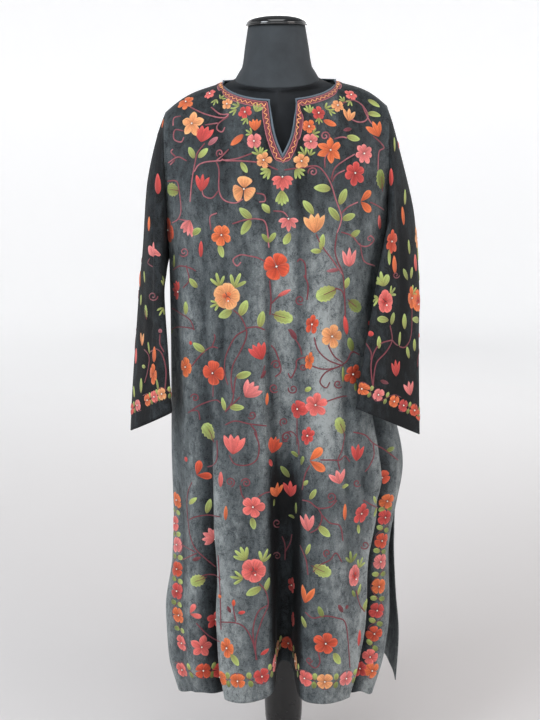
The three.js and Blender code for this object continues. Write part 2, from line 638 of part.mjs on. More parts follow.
// The binding stands on the neck edge, a seam's gap away from it.
function bindingMesh(front, back) {
  const neckOf = (panel, rows) => {
    const shares = columnShares(panel);
    const corners = topCorners(panel);
    const normals = panelNormals(panel, rows)[0];
    return shares
      .map((share, c) => ({ share, point: rows[0][c], normal: normals[c] }))
      .filter(({ share }) => share >= corners[1] && share <= corners[corners.length - 2]);
  };
  const frontEdge = neckOf(FRONT, front);
  const backEdge = neckOf(BACK, back).reverse();
  const edge = [...frontEdge, ...backEdge];
  const count = edge.length;
  const rings = edge.map(({ point, normal }, i) => {
    const before = edge[(i + count - 1) % count].point;
    const after = edge[(i + 1) % count].point;
    const arriving = point.clone().sub(before).normalize();
    const leaving = after.clone().sub(point).normalize();
    const up = arriving.clone().add(leaving).cross(normal).negate().normalize();
    const turn = Math.sqrt((1 + arriving.dot(leaving)) / 2);
    const reach = Math.min(1 / turn, MITRE_LIMIT);
    const corner = (height, depth) =>
      point.clone().addScaledVector(up, height * reach).addScaledVector(normal, depth);
    const outside = (BINDING_THICKNESS - WALL) / 2;
    const top = BINDING_GAP + BINDING_WIDTH;
    return [
      corner(BINDING_GAP, outside),
      corner(top, outside),
      corner(top, outside - BINDING_THICKNESS),
      corner(BINDING_GAP, outside - BINDING_THICKNESS),
    ];
  });
  const points = rings.flat();
  const index = [];
  for (let i = 0; i < count; i += 1) {
    for (let k = 0; k < 4; k += 1) {
      const a = i * 4 + k;
      const b = i * 4 + ((k + 1) % 4);
      const c = ((i + 1) % count) * 4 + ((k + 1) % 4);
      const d = ((i + 1) % count) * 4 + k;
      if (i < frontEdge.length - 1) index.push(a, d, b, d, c, b);
      else index.push(a, c, b, a, d, c);
    }
  }
  return namedMesh("neck_binding", indexed(points.flatMap((p) => [p.x, p.y, p.z]), index), BINDING_CLOTH);
}

function formRing(section) {
  return Array.from({ length: FORM_SIDES }, (_, i) => {
    const angle = (2 * Math.PI * i) / FORM_SIDES;
    const depth = Math.sin(angle) < 0 ? -section.front : section.back;
    const y = depth * power(Math.sin(angle), 2 / section.round);
    const x = section.half * power(Math.cos(angle), 2 / section.round);
    return new THREE.Vector3(x, y, section.z + (section.tilt * y) / TILT_REACH);
  });
}

function torsoMesh() {
  return namedMesh("form_torso", loftGeometry(FORM_SECTIONS.map(formRing)), FORM_CLOTH);
}

function neckMesh() {
  const rings = NECK_SECTIONS.map((section, i) =>
    formRing({ ...section, z: section.z + (i ? 0 : SEAM_GAP), round: 2 }),
  );
  return namedMesh("form_neck", loftGeometry(rings), NECK_CLOTH);
}

function turned(name, profile, finish) {
  const lathe = new THREE.LatheGeometry(profile, ROUND_SIDES);
  lathe.rotateX(Math.PI / 2);
  return namedMesh(name, lathe, finish);
}

function capMesh() {
  const rimTop = CAP.foot + CAP.rimHeight;
  const profile = [
    new THREE.Vector2(0, CAP.foot),
    new THREE.Vector2(CAP.rimRadius - CAP_EDGE_ROUND, CAP.foot),
    new THREE.Vector2(CAP.rimRadius, CAP.foot + CAP_EDGE_ROUND),
    new THREE.Vector2(CAP.rimRadius, rimTop - CAP_EDGE_ROUND),
    new THREE.Vector2(CAP.rimRadius - CAP_EDGE_ROUND, rimTop),
  ];
  for (let i = 0; i < CAP_STEPS; i += 1) {
    const angle = (Math.PI / 2) * (i / CAP_STEPS);
    const radius = CAP.domeRadius * Math.cos(angle) ** CAP_FULLNESS;
    profile.push(new THREE.Vector2(radius, rimTop + CAP.domeHeight * Math.sin(angle)));
  }
  profile.push(new THREE.Vector2(0, rimTop + CAP.domeHeight));
  return turned("neck_cap", profile, POLISHED_BLACK);
}

function poleMesh() {
  const profile = [
    new THREE.Vector2(0, POLE.foot),
    new THREE.Vector2(POLE.radius, POLE.foot),
    new THREE.Vector2(POLE.radius, POLE.top),
    new THREE.Vector2(0, POLE.top),
  ];
  return turned("stand_pole", profile, PAINTED_METAL);
}

function bulbMesh() {
  const foot = BULB[0];
  const head = BULB[BULB.length - 1];
  const profile = BULB.map(({ z, radius }) => new THREE.Vector2(radius, z));
  profile.unshift(new THREE.Vector2(0, foot.z));
  profile.push(new THREE.Vector2(0, head.z));
  return turned("stand_bulb", profile, LACQUER);
}

function baseMesh() {
  const profile = [
    new THREE.Vector2(0, 0),
    new THREE.Vector2(BASE.radius - BASE_EDGE_ROUND, 0),
    new THREE.Vector2(BASE.radius, BASE_EDGE_ROUND),
    new THREE.Vector2(BASE.radius, BASE.lip - BASE_EDGE_ROUND),
  ];
  for (let i = 0; i <= BASE_STEPS; i += 1) {
    const part = i / BASE_STEPS;
    const radius = mix(BASE.radius - BASE_EDGE_ROUND, BASE.hubRadius, part);
    const height = BASE.lip + BASE.dome * Math.sin((Math.PI * part) / 2) ** BASE_FULLNESS;
    profile.push(new THREE.Vector2(radius, height));
  }
  profile.push(new THREE.Vector2(BASE.hubRadius - BASE.hubDraft, BASE.hubTop));
  profile.push(new THREE.Vector2(0, BASE.hubTop));
  return turned("stand_base", profile, PAINTED_METAL);
}

function buildPheran() {
  const front = panelFaceApart(FRONT);
  const back = panelFaceApart(BACK);
  const group = new THREE.Group();
  group.add(
    panelMesh("front_panel", FRONT, front),
    panelMesh("back_panel", BACK, back),
    sleeveMesh("sleeve_left", LEFT_SLEEVE, armholeLoop(front, back, 0), -1),
    sleeveMesh("sleeve_right", RIGHT_SLEEVE, armholeLoop(front, back, -1), 1),
    bindingMesh(front, back),
    torsoMesh(),
    neckMesh(),
    capMesh(),
    poleMesh(),
    bulbMesh(),
    baseMesh(),
  );
  return group;
}

const group = buildPheran();
export default group;
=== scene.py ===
"""Pheran of crushed cotton velvet, worked in chain stitch, on a limbless dress form with its stand.

The gown's panels and sleeves are thin closed shells on the forms of their solids. Every flower,
leaf, stem and border is low relief that lies on the cloth's own rows and columns.
"""
import logging
import math
import random
from dataclasses import dataclass, field
from enum import Enum
from typing import Iterable, Sequence

import bpy
import numpy as np
from mathutils import Matrix, Vector
from mathutils.bvhtree import BVHTree


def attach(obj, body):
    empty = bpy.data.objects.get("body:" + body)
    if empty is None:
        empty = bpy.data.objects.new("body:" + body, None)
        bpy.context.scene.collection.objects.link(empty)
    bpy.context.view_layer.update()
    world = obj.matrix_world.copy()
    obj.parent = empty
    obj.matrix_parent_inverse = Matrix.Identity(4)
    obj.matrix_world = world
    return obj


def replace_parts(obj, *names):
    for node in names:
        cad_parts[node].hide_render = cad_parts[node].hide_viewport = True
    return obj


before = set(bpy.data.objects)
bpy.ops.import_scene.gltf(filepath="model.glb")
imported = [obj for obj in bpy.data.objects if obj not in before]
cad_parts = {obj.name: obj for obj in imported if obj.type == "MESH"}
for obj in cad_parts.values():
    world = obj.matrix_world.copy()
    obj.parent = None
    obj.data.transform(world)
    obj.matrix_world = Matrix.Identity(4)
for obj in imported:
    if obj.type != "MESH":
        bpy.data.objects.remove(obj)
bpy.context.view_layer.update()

LOG = logging.getLogger("pheran")
MM = 0.001
BODY = "root"
Tree = bpy.types.NodeTree
Socket = bpy.types.NodeSocket
Colour = tuple[float, float, float, float]
Values = float | np.ndarray
# A place on a panel's top edge, with how far it lies round the neck and down the notch
TopPlace = tuple[np.ndarray, float, float]


def linear(hex_code: int) -> Colour:
    """Turn an sRGB hex value into a linear colour.

    Args:
        hex_code: The colour as 0xRRGGBB.

    Returns:
        Linear red, green, blue and an alpha of 1.
    """
    parts = [((hex_code >> shift) & 255) / 255 for shift in (16, 8, 0)]
    low, slope, offset, power = 0.04045, 12.92, 0.055, 2.4
    return (*(p / slope if p <= low else ((p + offset) / (1 + offset)) ** power for p in parts), 1.0)


def smoothstep(value: np.ndarray, low: float, high: float) -> np.ndarray:
    """Rise smoothly from 0 at low to 1 at high."""
    t = np.clip((np.asarray(value, float) - low) / (high - low), 0, 1)
    return t * t * (3 - 2 * t)


def mix(a: Values, b: Values, part: Values) -> Values:
    """Blend from a to b by part."""
    return a + (b - a) * part


def hermite(start: Values, end: Values, leave: Values, arrive: Values, t: Values) -> Values:
    """Read a cubic with given end values and end slopes at t."""
    rest = 1 - t
    risen = t * t * (3 - 2 * t)
    return (1 + 2 * t) * rest * rest * start + risen * end + t * rest * rest * leave - t * t * rest * arrive


def signed_power(value: np.ndarray, exponent: float) -> np.ndarray:
    """Raise the size of a value to a power and keep its sign."""
    return np.sign(value) * np.abs(value) ** exponent


def read_table(keys: Sequence[float], values: np.ndarray, at: np.ndarray) -> np.ndarray:
    """Read a table smoothly, without passing its values where it turns.

    Args:
        keys: The table's first column, rising or falling.
        values: One value, or one row of values, for each key.
        at: Where to read.

    Returns:
        The values read, one row for each place.
    """
    keys = np.asarray(keys, float)
    values = np.asarray(values, float)
    if keys[-1] < keys[0]:
        keys, values = keys[::-1], values[::-1]
    if values.ndim == 1:
        values = values[:, None]
    at = np.clip(np.atleast_1d(np.asarray(at, float)), keys[0], keys[-1])
    span = np.diff(keys)[:, None]
    slope = np.diff(values, axis=0) / span
    product = slope[:-1] * slope[1:]
    total = slope[:-1] + slope[1:]
    inner = np.where(product > 0, 2 * product / np.where(total == 0, 1, total), 0)
    knots = np.vstack([slope[:1], inner, slope[-1:]])
    i = np.clip(np.searchsorted(keys, at, side="right") - 1, 0, len(keys) - 2)
    t = ((at - keys[i]) / span[i, 0])[:, None]
    return hermite(values[i], values[i + 1], knots[i] * span[i], knots[i + 1] * span[i], t)


YOKE_ROWS = 11
YOKE_CROWDING = 1.15
CHEST_LEVEL = 1130.0
CORNER_LEVEL = 220.0
EVEN_LEVEL = 900.0
SLIT_TOP = 605.0
SECTION_STEPS = 360
BODY_ROUNDNESS = 2.3
SHOULDER_CROWN = 9.0
CROWN_PLACE = 1.3
SHOULDER_SLOPE = math.radians(7)
NOTCH_SLOPE = math.radians(84)
NOTCH_BOW_LEFT = 6.0
NOTCH_BOW_RIGHT = 8.5
NOTCH_BOW_OUT = 4.0
NOTCH_BOW_PLACE = 1.2
PINCH_PLACE = 1.25
PINCH_WIDTH = 0.45
RIDGE_PULL = 1.66
ARMHOLE_RETURN = 200.0
ARMHOLE_SPREAD = 6
FOLD_EDGE_POWER = 10
HEM_ARCH_REACH = 0.25
HEM_CORNER_POWER = 4
HALFWAY_PULL = 8
YOKE_FOLD_REACH = 1.28
YOKE_FOLD_HEADROOM = 20.0
SEAM_GAP = 0.3
WALL = 2.0
NECK_LEFT, NECK_RIGHT = (-103.0, 1459.0), (111.0, 1459.0)
TIP_LEFT, TIP_RIGHT = (-211.0, 1406.0), (206.0, 1413.0)


@dataclass(frozen=True)
class Fold:
    """One lengthwise fold of a panel.

    at is the share of the half width from the centre, width the trough's half width in mm, depth its
    inward depth at the hem, start the level where it fades out, growth the power of its growth, lean
    its sideways shift and flat the power of its floor. pinch draws the rim of the ridge over the trough,
    on both sides, or on the side that the trough leans to.
    """

    at: float
    width: float
    depth: float
    start: float
    growth: float
    lean: float
    flat: float
    pinch: float = 0.0


@dataclass(frozen=True)
class Notch:
    """The slit in the front of the neck: its two corners and its foot, in mm."""

    left: float
    right: float
    foot: tuple[float, float, float]


@dataclass
class PanelForm:
    """The form of the front or back panel, the same as its solid's, in mm."""

    facing: int
    sections: list[tuple[float, ...]]
    folds: list[Fold]
    corner_level: float
    hem_rise: float
    hem_arch: float
    neck_depth: float
    neck_drop: float
    armhole_depth: float
    yoke_depth: float
    neck_slope: float
    columns: list[int]
    notch: Notch | None = None

    def plain_section(self, level: float) -> tuple[np.ndarray, ...]:
        """Draw the half section at a level without its folds.

        Args:
            level: Height above the floor.

        Returns:
            x, y, the share of the half width and the half width at each point.
        """
        rows = np.array(self.sections)
        left_x, right_x, left_y, right_y, depth = read_table(rows[:, 0], rows[:, 1:], level)[0]
        angle = np.pi * np.arange(SECTION_STEPS + 1) / SECTION_STEPS
        across = np.abs(np.cos(angle)) ** (2 / BODY_ROUNDNESS)
        outward = np.abs(np.sin(angle)) ** (2 / BODY_ROUNDNESS)
        on_left = angle < np.pi / 2
        x = np.where(on_left, left_x, right_x) * across
        y = mix(np.where(on_left, left_y, right_y), depth, outward)
        run = running_length(x, y)
        middle = run[SECTION_STEPS // 2]
        half = np.where(run < middle, middle, run[-1] - middle)
        return x, y, (run - middle) / half, half

    def fold_at(
        self, share: np.ndarray, half: np.ndarray, level: np.ndarray
    ) -> tuple[np.ndarray, np.ndarray]:
        """Add up the inward depth and the sideways lean of all the folds."""
        fade = 1 - np.abs(share) ** FOLD_EDGE_POWER
        depth, lean = 0.0, 0.0
        for fold in self.folds:
            grown = np.clip((fold.start - level) / (fold.start - CORNER_LEVEL), 0, 1) ** fold.growth
            side = np.sign(share - fold.at)
            distance = np.abs((share - fold.at) * half) / fold.width
            shape = grown * fade * np.exp(-(distance**fold.flat))
            rim = grown * fade * np.exp(-(((distance - PINCH_PLACE) / PINCH_WIDTH) ** 2))
            leaning = np.where(side * np.sign(fold.lean) >= 0, -side, 0.0)
            depth = depth + fold.depth * shape
            lean = lean + fold.lean * shape + fold.pinch * rim * leaning
        return depth, lean

    def folded_section(self, level: float, shares: np.ndarray) -> tuple[np.ndarray, np.ndarray]:
        """Read the folded section at a level, spaced by cloth length where the folds are deep."""
        x, y, share, half = self.plain_section(level)
        along = np.stack([np.gradient(x), np.gradient(y)])
        along /= np.linalg.norm(along, axis=0)
        depth, lean = self.fold_at(share, half, level)
        folded_x = x + lean * along[0] + depth * self.facing * along[1]
        folded_y = y + lean * along[1] - depth * self.facing * along[0]
        run = running_length(folded_x, folded_y)
        even = smoothstep(CHEST_LEVEL - level, 0, CHEST_LEVEL - EVEN_LEVEL)
        target = mix(np.interp(shares, share, run), (shares + 1) / 2 * run[-1], even)
        return np.interp(target, run, folded_x), np.interp(target, run, folded_y)

    def corners(self) -> list[float]:
        """Find the shares where the top edge turns."""
        x, _, share, _ = self.plain_section(CHEST_LEVEL)
        places = [NECK_LEFT[0]]
        if self.notch:
            places += [self.notch.left, self.notch.foot[0], self.notch.right]
        places.append(NECK_RIGHT[0])
        return [-1.0, *(float(np.interp(p, x, share)) for p in places), 1.0]

    def shares(self, finer: int) -> np.ndarray:
        """Place the columns, finer times as many as the solid has."""
        turns = self.corners()
        parts = [np.linspace(a, b, n * finer + 1)[1:] for a, b, n in zip(turns, turns[1:], self.columns)]
        return np.concatenate([[-1.0], *parts])

    def neck_round(self, corner: tuple[float, float], turn: float) -> TopPlace:
        """Place a point on the round of the neck, a quarter turn from corner to centre."""
        sine, cosine = math.sin(math.pi / 2 * turn), math.cos(math.pi / 2 * turn)
        point = (corner[0] * cosine, self.facing * self.neck_depth * sine, corner[1] - self.neck_drop * sine)
        return np.array(point), turn, 0.0

    def notch_place(self, top: TopPlace, down: float, side: int) -> TopPlace:
        """Place a point on one side of the notch."""
        point = mix(top[0], np.array(self.notch.foot), down)
        bow = math.sin(math.pi * down**NOTCH_BOW_PLACE)
        point[0] += -NOTCH_BOW_LEFT * bow if side < 0 else NOTCH_BOW_RIGHT * bow
        point[1] += self.facing * NOTCH_BOW_OUT * bow
        return point, mix(top[1], 1.0, down), down

    def top_place(self, share: float) -> TopPlace:
        """Place a point on the top edge, with how far it lies round the neck and down the notch."""
        turns = self.corners()

        def between(i: int) -> float:
            """Tell how far share lies from turn i to the next."""
            return (share - turns[i]) / (turns[i + 1] - turns[i])

        if share <= turns[1]:
            return shoulder_place(NECK_LEFT, TIP_LEFT, 1 - between(0))
        if share >= turns[-2]:
            return shoulder_place(NECK_RIGHT, TIP_RIGHT, between(len(turns) - 2))
        if not self.notch:
            turn = 2 * between(1)
            return self.neck_round(NECK_LEFT, turn) if turn < 1 else self.neck_round(NECK_RIGHT, 2 - turn)
        left = math.acos(self.notch.left / NECK_LEFT[0]) / (math.pi / 2)
        right = math.acos(self.notch.right / NECK_RIGHT[0]) / (math.pi / 2)
        if share <= turns[2]:
            return self.neck_round(NECK_LEFT, left * between(1))
        if share >= turns[4]:
            return self.neck_round(NECK_RIGHT, right * (1 - between(4)))
        if share < turns[3]:
            return self.notch_place(self.neck_round(NECK_LEFT, left), between(2), -1)
        return self.notch_place(self.neck_round(NECK_RIGHT, right), 1 - between(3), 1)

    def yoke(self, shares: np.ndarray, downs: np.ndarray) -> np.ndarray:
        """Form the cloth from the top edge to the chest.

        Args:
            shares: The columns' shares.
            downs: The rows' shares of the way down.

        Returns:
            Points by row, column and axis.
        """
        places = [self.top_place(float(s)) for s in shares]
        top = np.array([p[0] for p in places])
        turn = np.array([p[1] for p in places])
        notch = np.array([p[2] for p in places])
        chest_x, chest_y = self.folded_section(CHEST_LEVEL, shares)
        below_x, below_y = self.folded_section(CHEST_LEVEL - 1, shares)
        fall = top[:, 2] - CHEST_LEVEL
        slope = mix(mix(SHOULDER_SLOPE, self.neck_slope, turn), NOTCH_SLOPE, notch)
        halfway = mix(self.armhole_depth, self.yoke_depth, np.cos(np.pi * shares / 2) ** 2)
        returning = -self.facing * ARMHOLE_RETURN * np.abs(shares) ** ARMHOLE_SPREAD
        pull = mix(RIDGE_PULL, 1.0, turn)
        arrive_y = (below_y - chest_y) * fall * pull + returning
        ridge_y = HALFWAY_PULL * (self.facing * halfway - (top[:, 1] + chest_y) / 2) + arrive_y
        leave = mix(np.abs(ridge_y), fall, turn)
        t = downs[:, None]
        x = hermite(top[:, 0], chest_x, chest_x - top[:, 0], (below_x - chest_x) * fall * pull, t)
        y = hermite(top[:, 1], chest_y, self.facing * leave * np.cos(slope), arrive_y, t)
        z = hermite(top[:, 2], CHEST_LEVEL, -leave * np.sin(slope), -fall * pull, t)
        half = abs(self.sections[0][1]) * YOKE_FOLD_REACH
        depth = self.fold_at(shares[None, :], half, z)[0]
        arriving = self.fold_at(shares, half, CHEST_LEVEL)[0]
        row = downs ** (1 / YOKE_CROWDING) * YOKE_ROWS
        room = smoothstep(row, 0, YOKE_ROWS / 2) * (1 - smoothstep(row, YOKE_ROWS - 3, YOKE_ROWS))
        y -= self.facing * np.minimum(depth, arriving + YOKE_FOLD_HEADROOM) * room[:, None]
        return np.stack([x, y, z], axis=-1)

    def face(self, finer: int, yoke_rows: int, skirt_rows: int) -> np.ndarray:
        """Form the whole outer face, from the top edge to the hem.

        Args:
            finer: How many columns stand for one of the solid's.
            yoke_rows: Rows above the chest.
            skirt_rows: Rows below it.

        Returns:
            Points by row, column and axis, in mm.
        """
        shares = self.shares(finer)
        downs = (np.arange(yoke_rows + 1) / yoke_rows) ** YOKE_CROWDING
        rows = [*self.yoke(shares, downs)]
        rise = self.hem_rise * (1 - shares**HEM_CORNER_POWER)
        rise = rise + self.hem_arch * np.exp(-((shares / HEM_ARCH_REACH) ** 2))
        for part in np.arange(1, skirt_rows + 1) / skirt_rows:
            level = mix(CHEST_LEVEL, self.corner_level, part)
            x, y = self.folded_section(level, shares)
            rows.append(np.stack([x, y, level + rise * part**2], axis=-1))
        points = np.array(rows)
        points[..., 1] += self.facing * SEAM_GAP / 2
        return points


def running_length(x: np.ndarray, y: np.ndarray) -> np.ndarray:
    """Measure the length run along a line up to each of its points."""
    return np.concatenate([[0.0], np.cumsum(np.hypot(np.diff(x), np.diff(y)))])


def shoulder_place(neck: tuple[float, float], tip: tuple[float, float], part: float) -> TopPlace:
    """Place a point on a shoulder's seam, part of the way from the neck to the tip."""
    crown = SHOULDER_CROWN * math.sin(math.pi * part**CROWN_PLACE)
    return np.array([mix(neck[0], tip[0], part), 0.0, mix(neck[1], tip[1], part) + crown]), 0.0, 0.0


FRONT = PanelForm(
    facing=-1,
    sections=[
        (1130, -214, 207, 0, 0, -128),
        (1000, -216, 208, 0, 0, -131),
        (850, -220, 222, 0, 0, -138),
        (700, -224, 250, 0, 0, -146),
        (610, -224, 237, 0, 0, -151),
        (510, -228, 221, -28, -24, -156),
        (400, -244, 223, -44, -44, -161),
        (300, -241, 211, -54, -64, -165),
        (220, -223, 186, -63, -84, -168),
    ],
    folds=[
        Fold(0.02, 31, 112, 1270, 1.9, 0, 3, 11),
        Fold(-0.52, 19, 42, 1110, 1.1, 15, 2, 9),
        Fold(0.7, 19, 36, 1190, 1, -15, 2, 9),
        Fold(-0.29, 42, -13, 1210, 1, 0, 2),
        Fold(0.36, 40, -13, 1160, 1, 0, 2),
        Fold(-0.8, 24, 11, 1270, 0.6, 4, 2),
    ],
    corner_level=220,
    hem_rise=31,
    hem_arch=29,
    neck_depth=97,
    neck_drop=35,
    armhole_depth=56,
    yoke_depth=122,
    neck_slope=math.radians(72),
    columns=[11, 6, 4, 4, 5, 11],
    notch=Notch(-18, 35, (7, -121, 1324)),
)
BACK = PanelForm(
    facing=1,
    sections=[
        (1130, -214, 207, 0, 0, 108),
        (1000, -216, 208, 0, 0, 112),
        (850, -220, 222, 0, 0, 124),
        (700, -224, 250, 0, 0, 134),
        (610, -224, 237, 0, 0, 139),
        (510, -222, 238, 10, 8, 144),
        (400, -226, 244, 18, 10, 150),
        (300, -224, 252, 22, 8, 155),
        (190, -212, 247, 26, 4, 158),
    ],
    folds=[
        Fold(-0.05, 30, 62, 1240, 1.7, 6, 3, 6),
        Fold(-0.5, 22, 46, 1180, 1.2, 10, 2, 6),
        Fold(0.46, 24, 50, 1200, 1.2, -10, 2, 6),
        Fold(-0.27, 34, -14, 1160, 1, 0, 2),
        Fold(0.22, 34, -14, 1160, 1, 0, 2),
        Fold(0.74, 26, -10, 1100, 0.9, 0, 2),
    ],
    corner_level=190,
    hem_rise=30,
    hem_arch=8,
    neck_depth=77,
    neck_drop=-4,
    armhole_depth=56,
    yoke_depth=104,
    neck_slope=math.radians(66),
    columns=[11, 12, 11],
)

# Sleeve rings: share of the way to the cuff, centre, half axis to the outer face, half axis to the front
RIGHT_RINGS = [
    (0, 206, 0, 1270, 0, 0, 137, 0, -57, 0),
    (0.12, 223, -6, 1222, 12, 3, 108, -9, -66, 0),
    (0.26, 230, -20, 1154, 17, -4, 64, -35, -67, 4),
    (0.42, 226, -56, 1068, 14, -9, 26, -46, -52, 8),
    (0.62, 216, -88, 975, 10, -11, 9, -54, -44, 14),
    (0.82, 210, -106, 895, 8, -12, 3, -60, -38, 26),
    (1, 206, -116, 824, 7, -13, 0, -65, -32, 37),
]
LEFT_RINGS = [
    (0, -211, 0, 1267, 0, 0, 137, 0, -57, 0),
    (0.12, -231, -1, 1219, -13, 3, 106, 5, -66, 0),
    (0.26, -241, -5, 1150, -18, 0, 62, 10, -70, 4),
    (0.42, -250, -14, 1064, -17, -6, 26, 23, -68, 8),
    (0.62, -254, -26, 968, -14, -8, 8, 34, -62, 14),
    (0.82, -257, -38, 886, -12, -9, 2, 41, -56, 24),
    (1, -259, -48, 808, -11, -10, 0, 46, -50, 34),
]
SLEEVE_BLEND = 0.2
SLEEVE_CORNER = 0.9


def sleeve_face(rings: list[tuple[float, ...]], loop: np.ndarray, side: int, count: int) -> np.ndarray:
    """Form a sleeve's outer face, from its armhole's loop to its cuff.

    Args:
        rings: The sleeve's table of rings.
        loop: The seam's points round the armhole, in mm.
        side: -1 for the left sleeve and 1 for the right one.
        count: Rings from the seam to the cuff.

    Returns:
        Points by ring, column and axis, in mm.
    """
    table = np.array(rings, float)
    shares = np.linspace(0, 1, count + 1)
    read = read_table(table[:, 0], table[:, 1:], shares)
    angle = 2 * np.pi * np.arange(len(loop)) / len(loop)
    out = signed_power(np.cos(angle), SLEEVE_CORNER)[None, :, None]
    front = signed_power(np.sin(angle), SLEEVE_CORNER)[None, :, None]
    tube = read[:, None, 0:3] + out * read[:, None, 3:6] + front * read[:, None, 6:9]
    start = loop + np.array([side * SEAM_GAP, 0, 0])
    return mix(start[None], tube, smoothstep(shares, 0, SLEEVE_BLEND)[:, None, None])


class PhotoView:
    """The photograph's camera: where it stands, and its rays and places in the 540 by 720 frame."""

    WIDTH, HEIGHT = 540, 720
    LENS_MM, SENSOR_MM = 51.4, 36.0
    PLACE = Vector((-0.020, -2.0, 1.438))
    PITCH, ROLL = math.radians(14.55), math.radians(0.72)

    def __init__(self) -> None:
        """Work out the camera's axes."""
        turn = Matrix.Rotation(math.pi / 2 - self.PITCH, 3, "X") @ Matrix.Rotation(-self.ROLL, 3, "Z")
        self.turn = turn
        self.right, self.up = turn @ Vector((1, 0, 0)), turn @ Vector((0, 1, 0))
        self.ahead = turn @ Vector((0, 0, -1))
        self.focal = self.LENS_MM / self.SENSOR_MM * self.HEIGHT

    def ray(self, x: float, y: float) -> Vector:
        """Point from the camera through a place in the frame."""
        across, rise = (x - self.WIDTH / 2) / self.focal, (self.HEIGHT / 2 - y) / self.focal
        return (self.ahead + self.right * across + self.up * rise).normalized()

    def places(self, points: np.ndarray) -> np.ndarray:
        """Find where points, in metres, lie in the frame."""
        away = points - np.array(self.PLACE)
        deep = away @ np.array(self.ahead)
        x = self.WIDTH / 2 + self.focal * (away @ np.array(self.right)) / deep
        y = self.HEIGHT / 2 - self.focal * (away @ np.array(self.up)) / deep
        return np.stack([x, y], axis=-1)

    def make(self) -> bpy.types.Object:
        """Make the scene's camera."""
        data = bpy.data.cameras.new("photo_camera")
        data.lens, data.sensor_width, data.clip_end = self.LENS_MM, self.SENSOR_MM, 60
        camera = bpy.data.objects.new("photo_camera", data)
        camera.matrix_world = Matrix.Translation(self.PLACE) @ self.turn.to_4x4()
        bpy.context.scene.collection.objects.link(camera)
        bpy.context.scene.camera = camera
        return camera


PHOTO = PhotoView()


@dataclass(frozen=True)
class Crease:
    """One soft crease of the cloth, along a line of places in the photograph's frame.

    depth is in mm, inward, and a ridge has a negative one. width is its half width in pixels, and skew
    makes its left side wider and its right side steeper.
    """

    line: tuple[tuple[float, float], ...]
    width: float
    depth: float
    skew: float = 0.0

    def amount(self, places: np.ndarray) -> np.ndarray:
        """Give the crease's inward depth at each place in the frame."""
        line = np.array(self.line, float)
        steps = np.linalg.norm(np.diff(line, axis=0), axis=1)
        run = np.concatenate([[0], np.cumsum(steps)])
        nearest = np.full(places.shape[:-1], 1e9)
        part = np.zeros_like(nearest)
        side = np.zeros_like(nearest)
        for i, step in enumerate(steps):
            along = (line[i + 1] - line[i]) / step
            away = places - line[i]
            t = np.clip(away @ along, 0, step)
            off = away - t[..., None] * along
            distance = np.linalg.norm(off, axis=-1)
            closer = distance < nearest
            nearest = np.where(closer, distance, nearest)
            part = np.where(closer, (run[i] + t) / run[-1], part)
            side = np.where(closer, np.sign(off[..., 0]), side)
        width = self.width * (1 - self.skew * side)
        taper = np.sin(np.pi * np.clip(part, 0.02, 0.98)) ** 0.7
        return self.depth * taper * np.exp(-((nearest / width) ** 2))


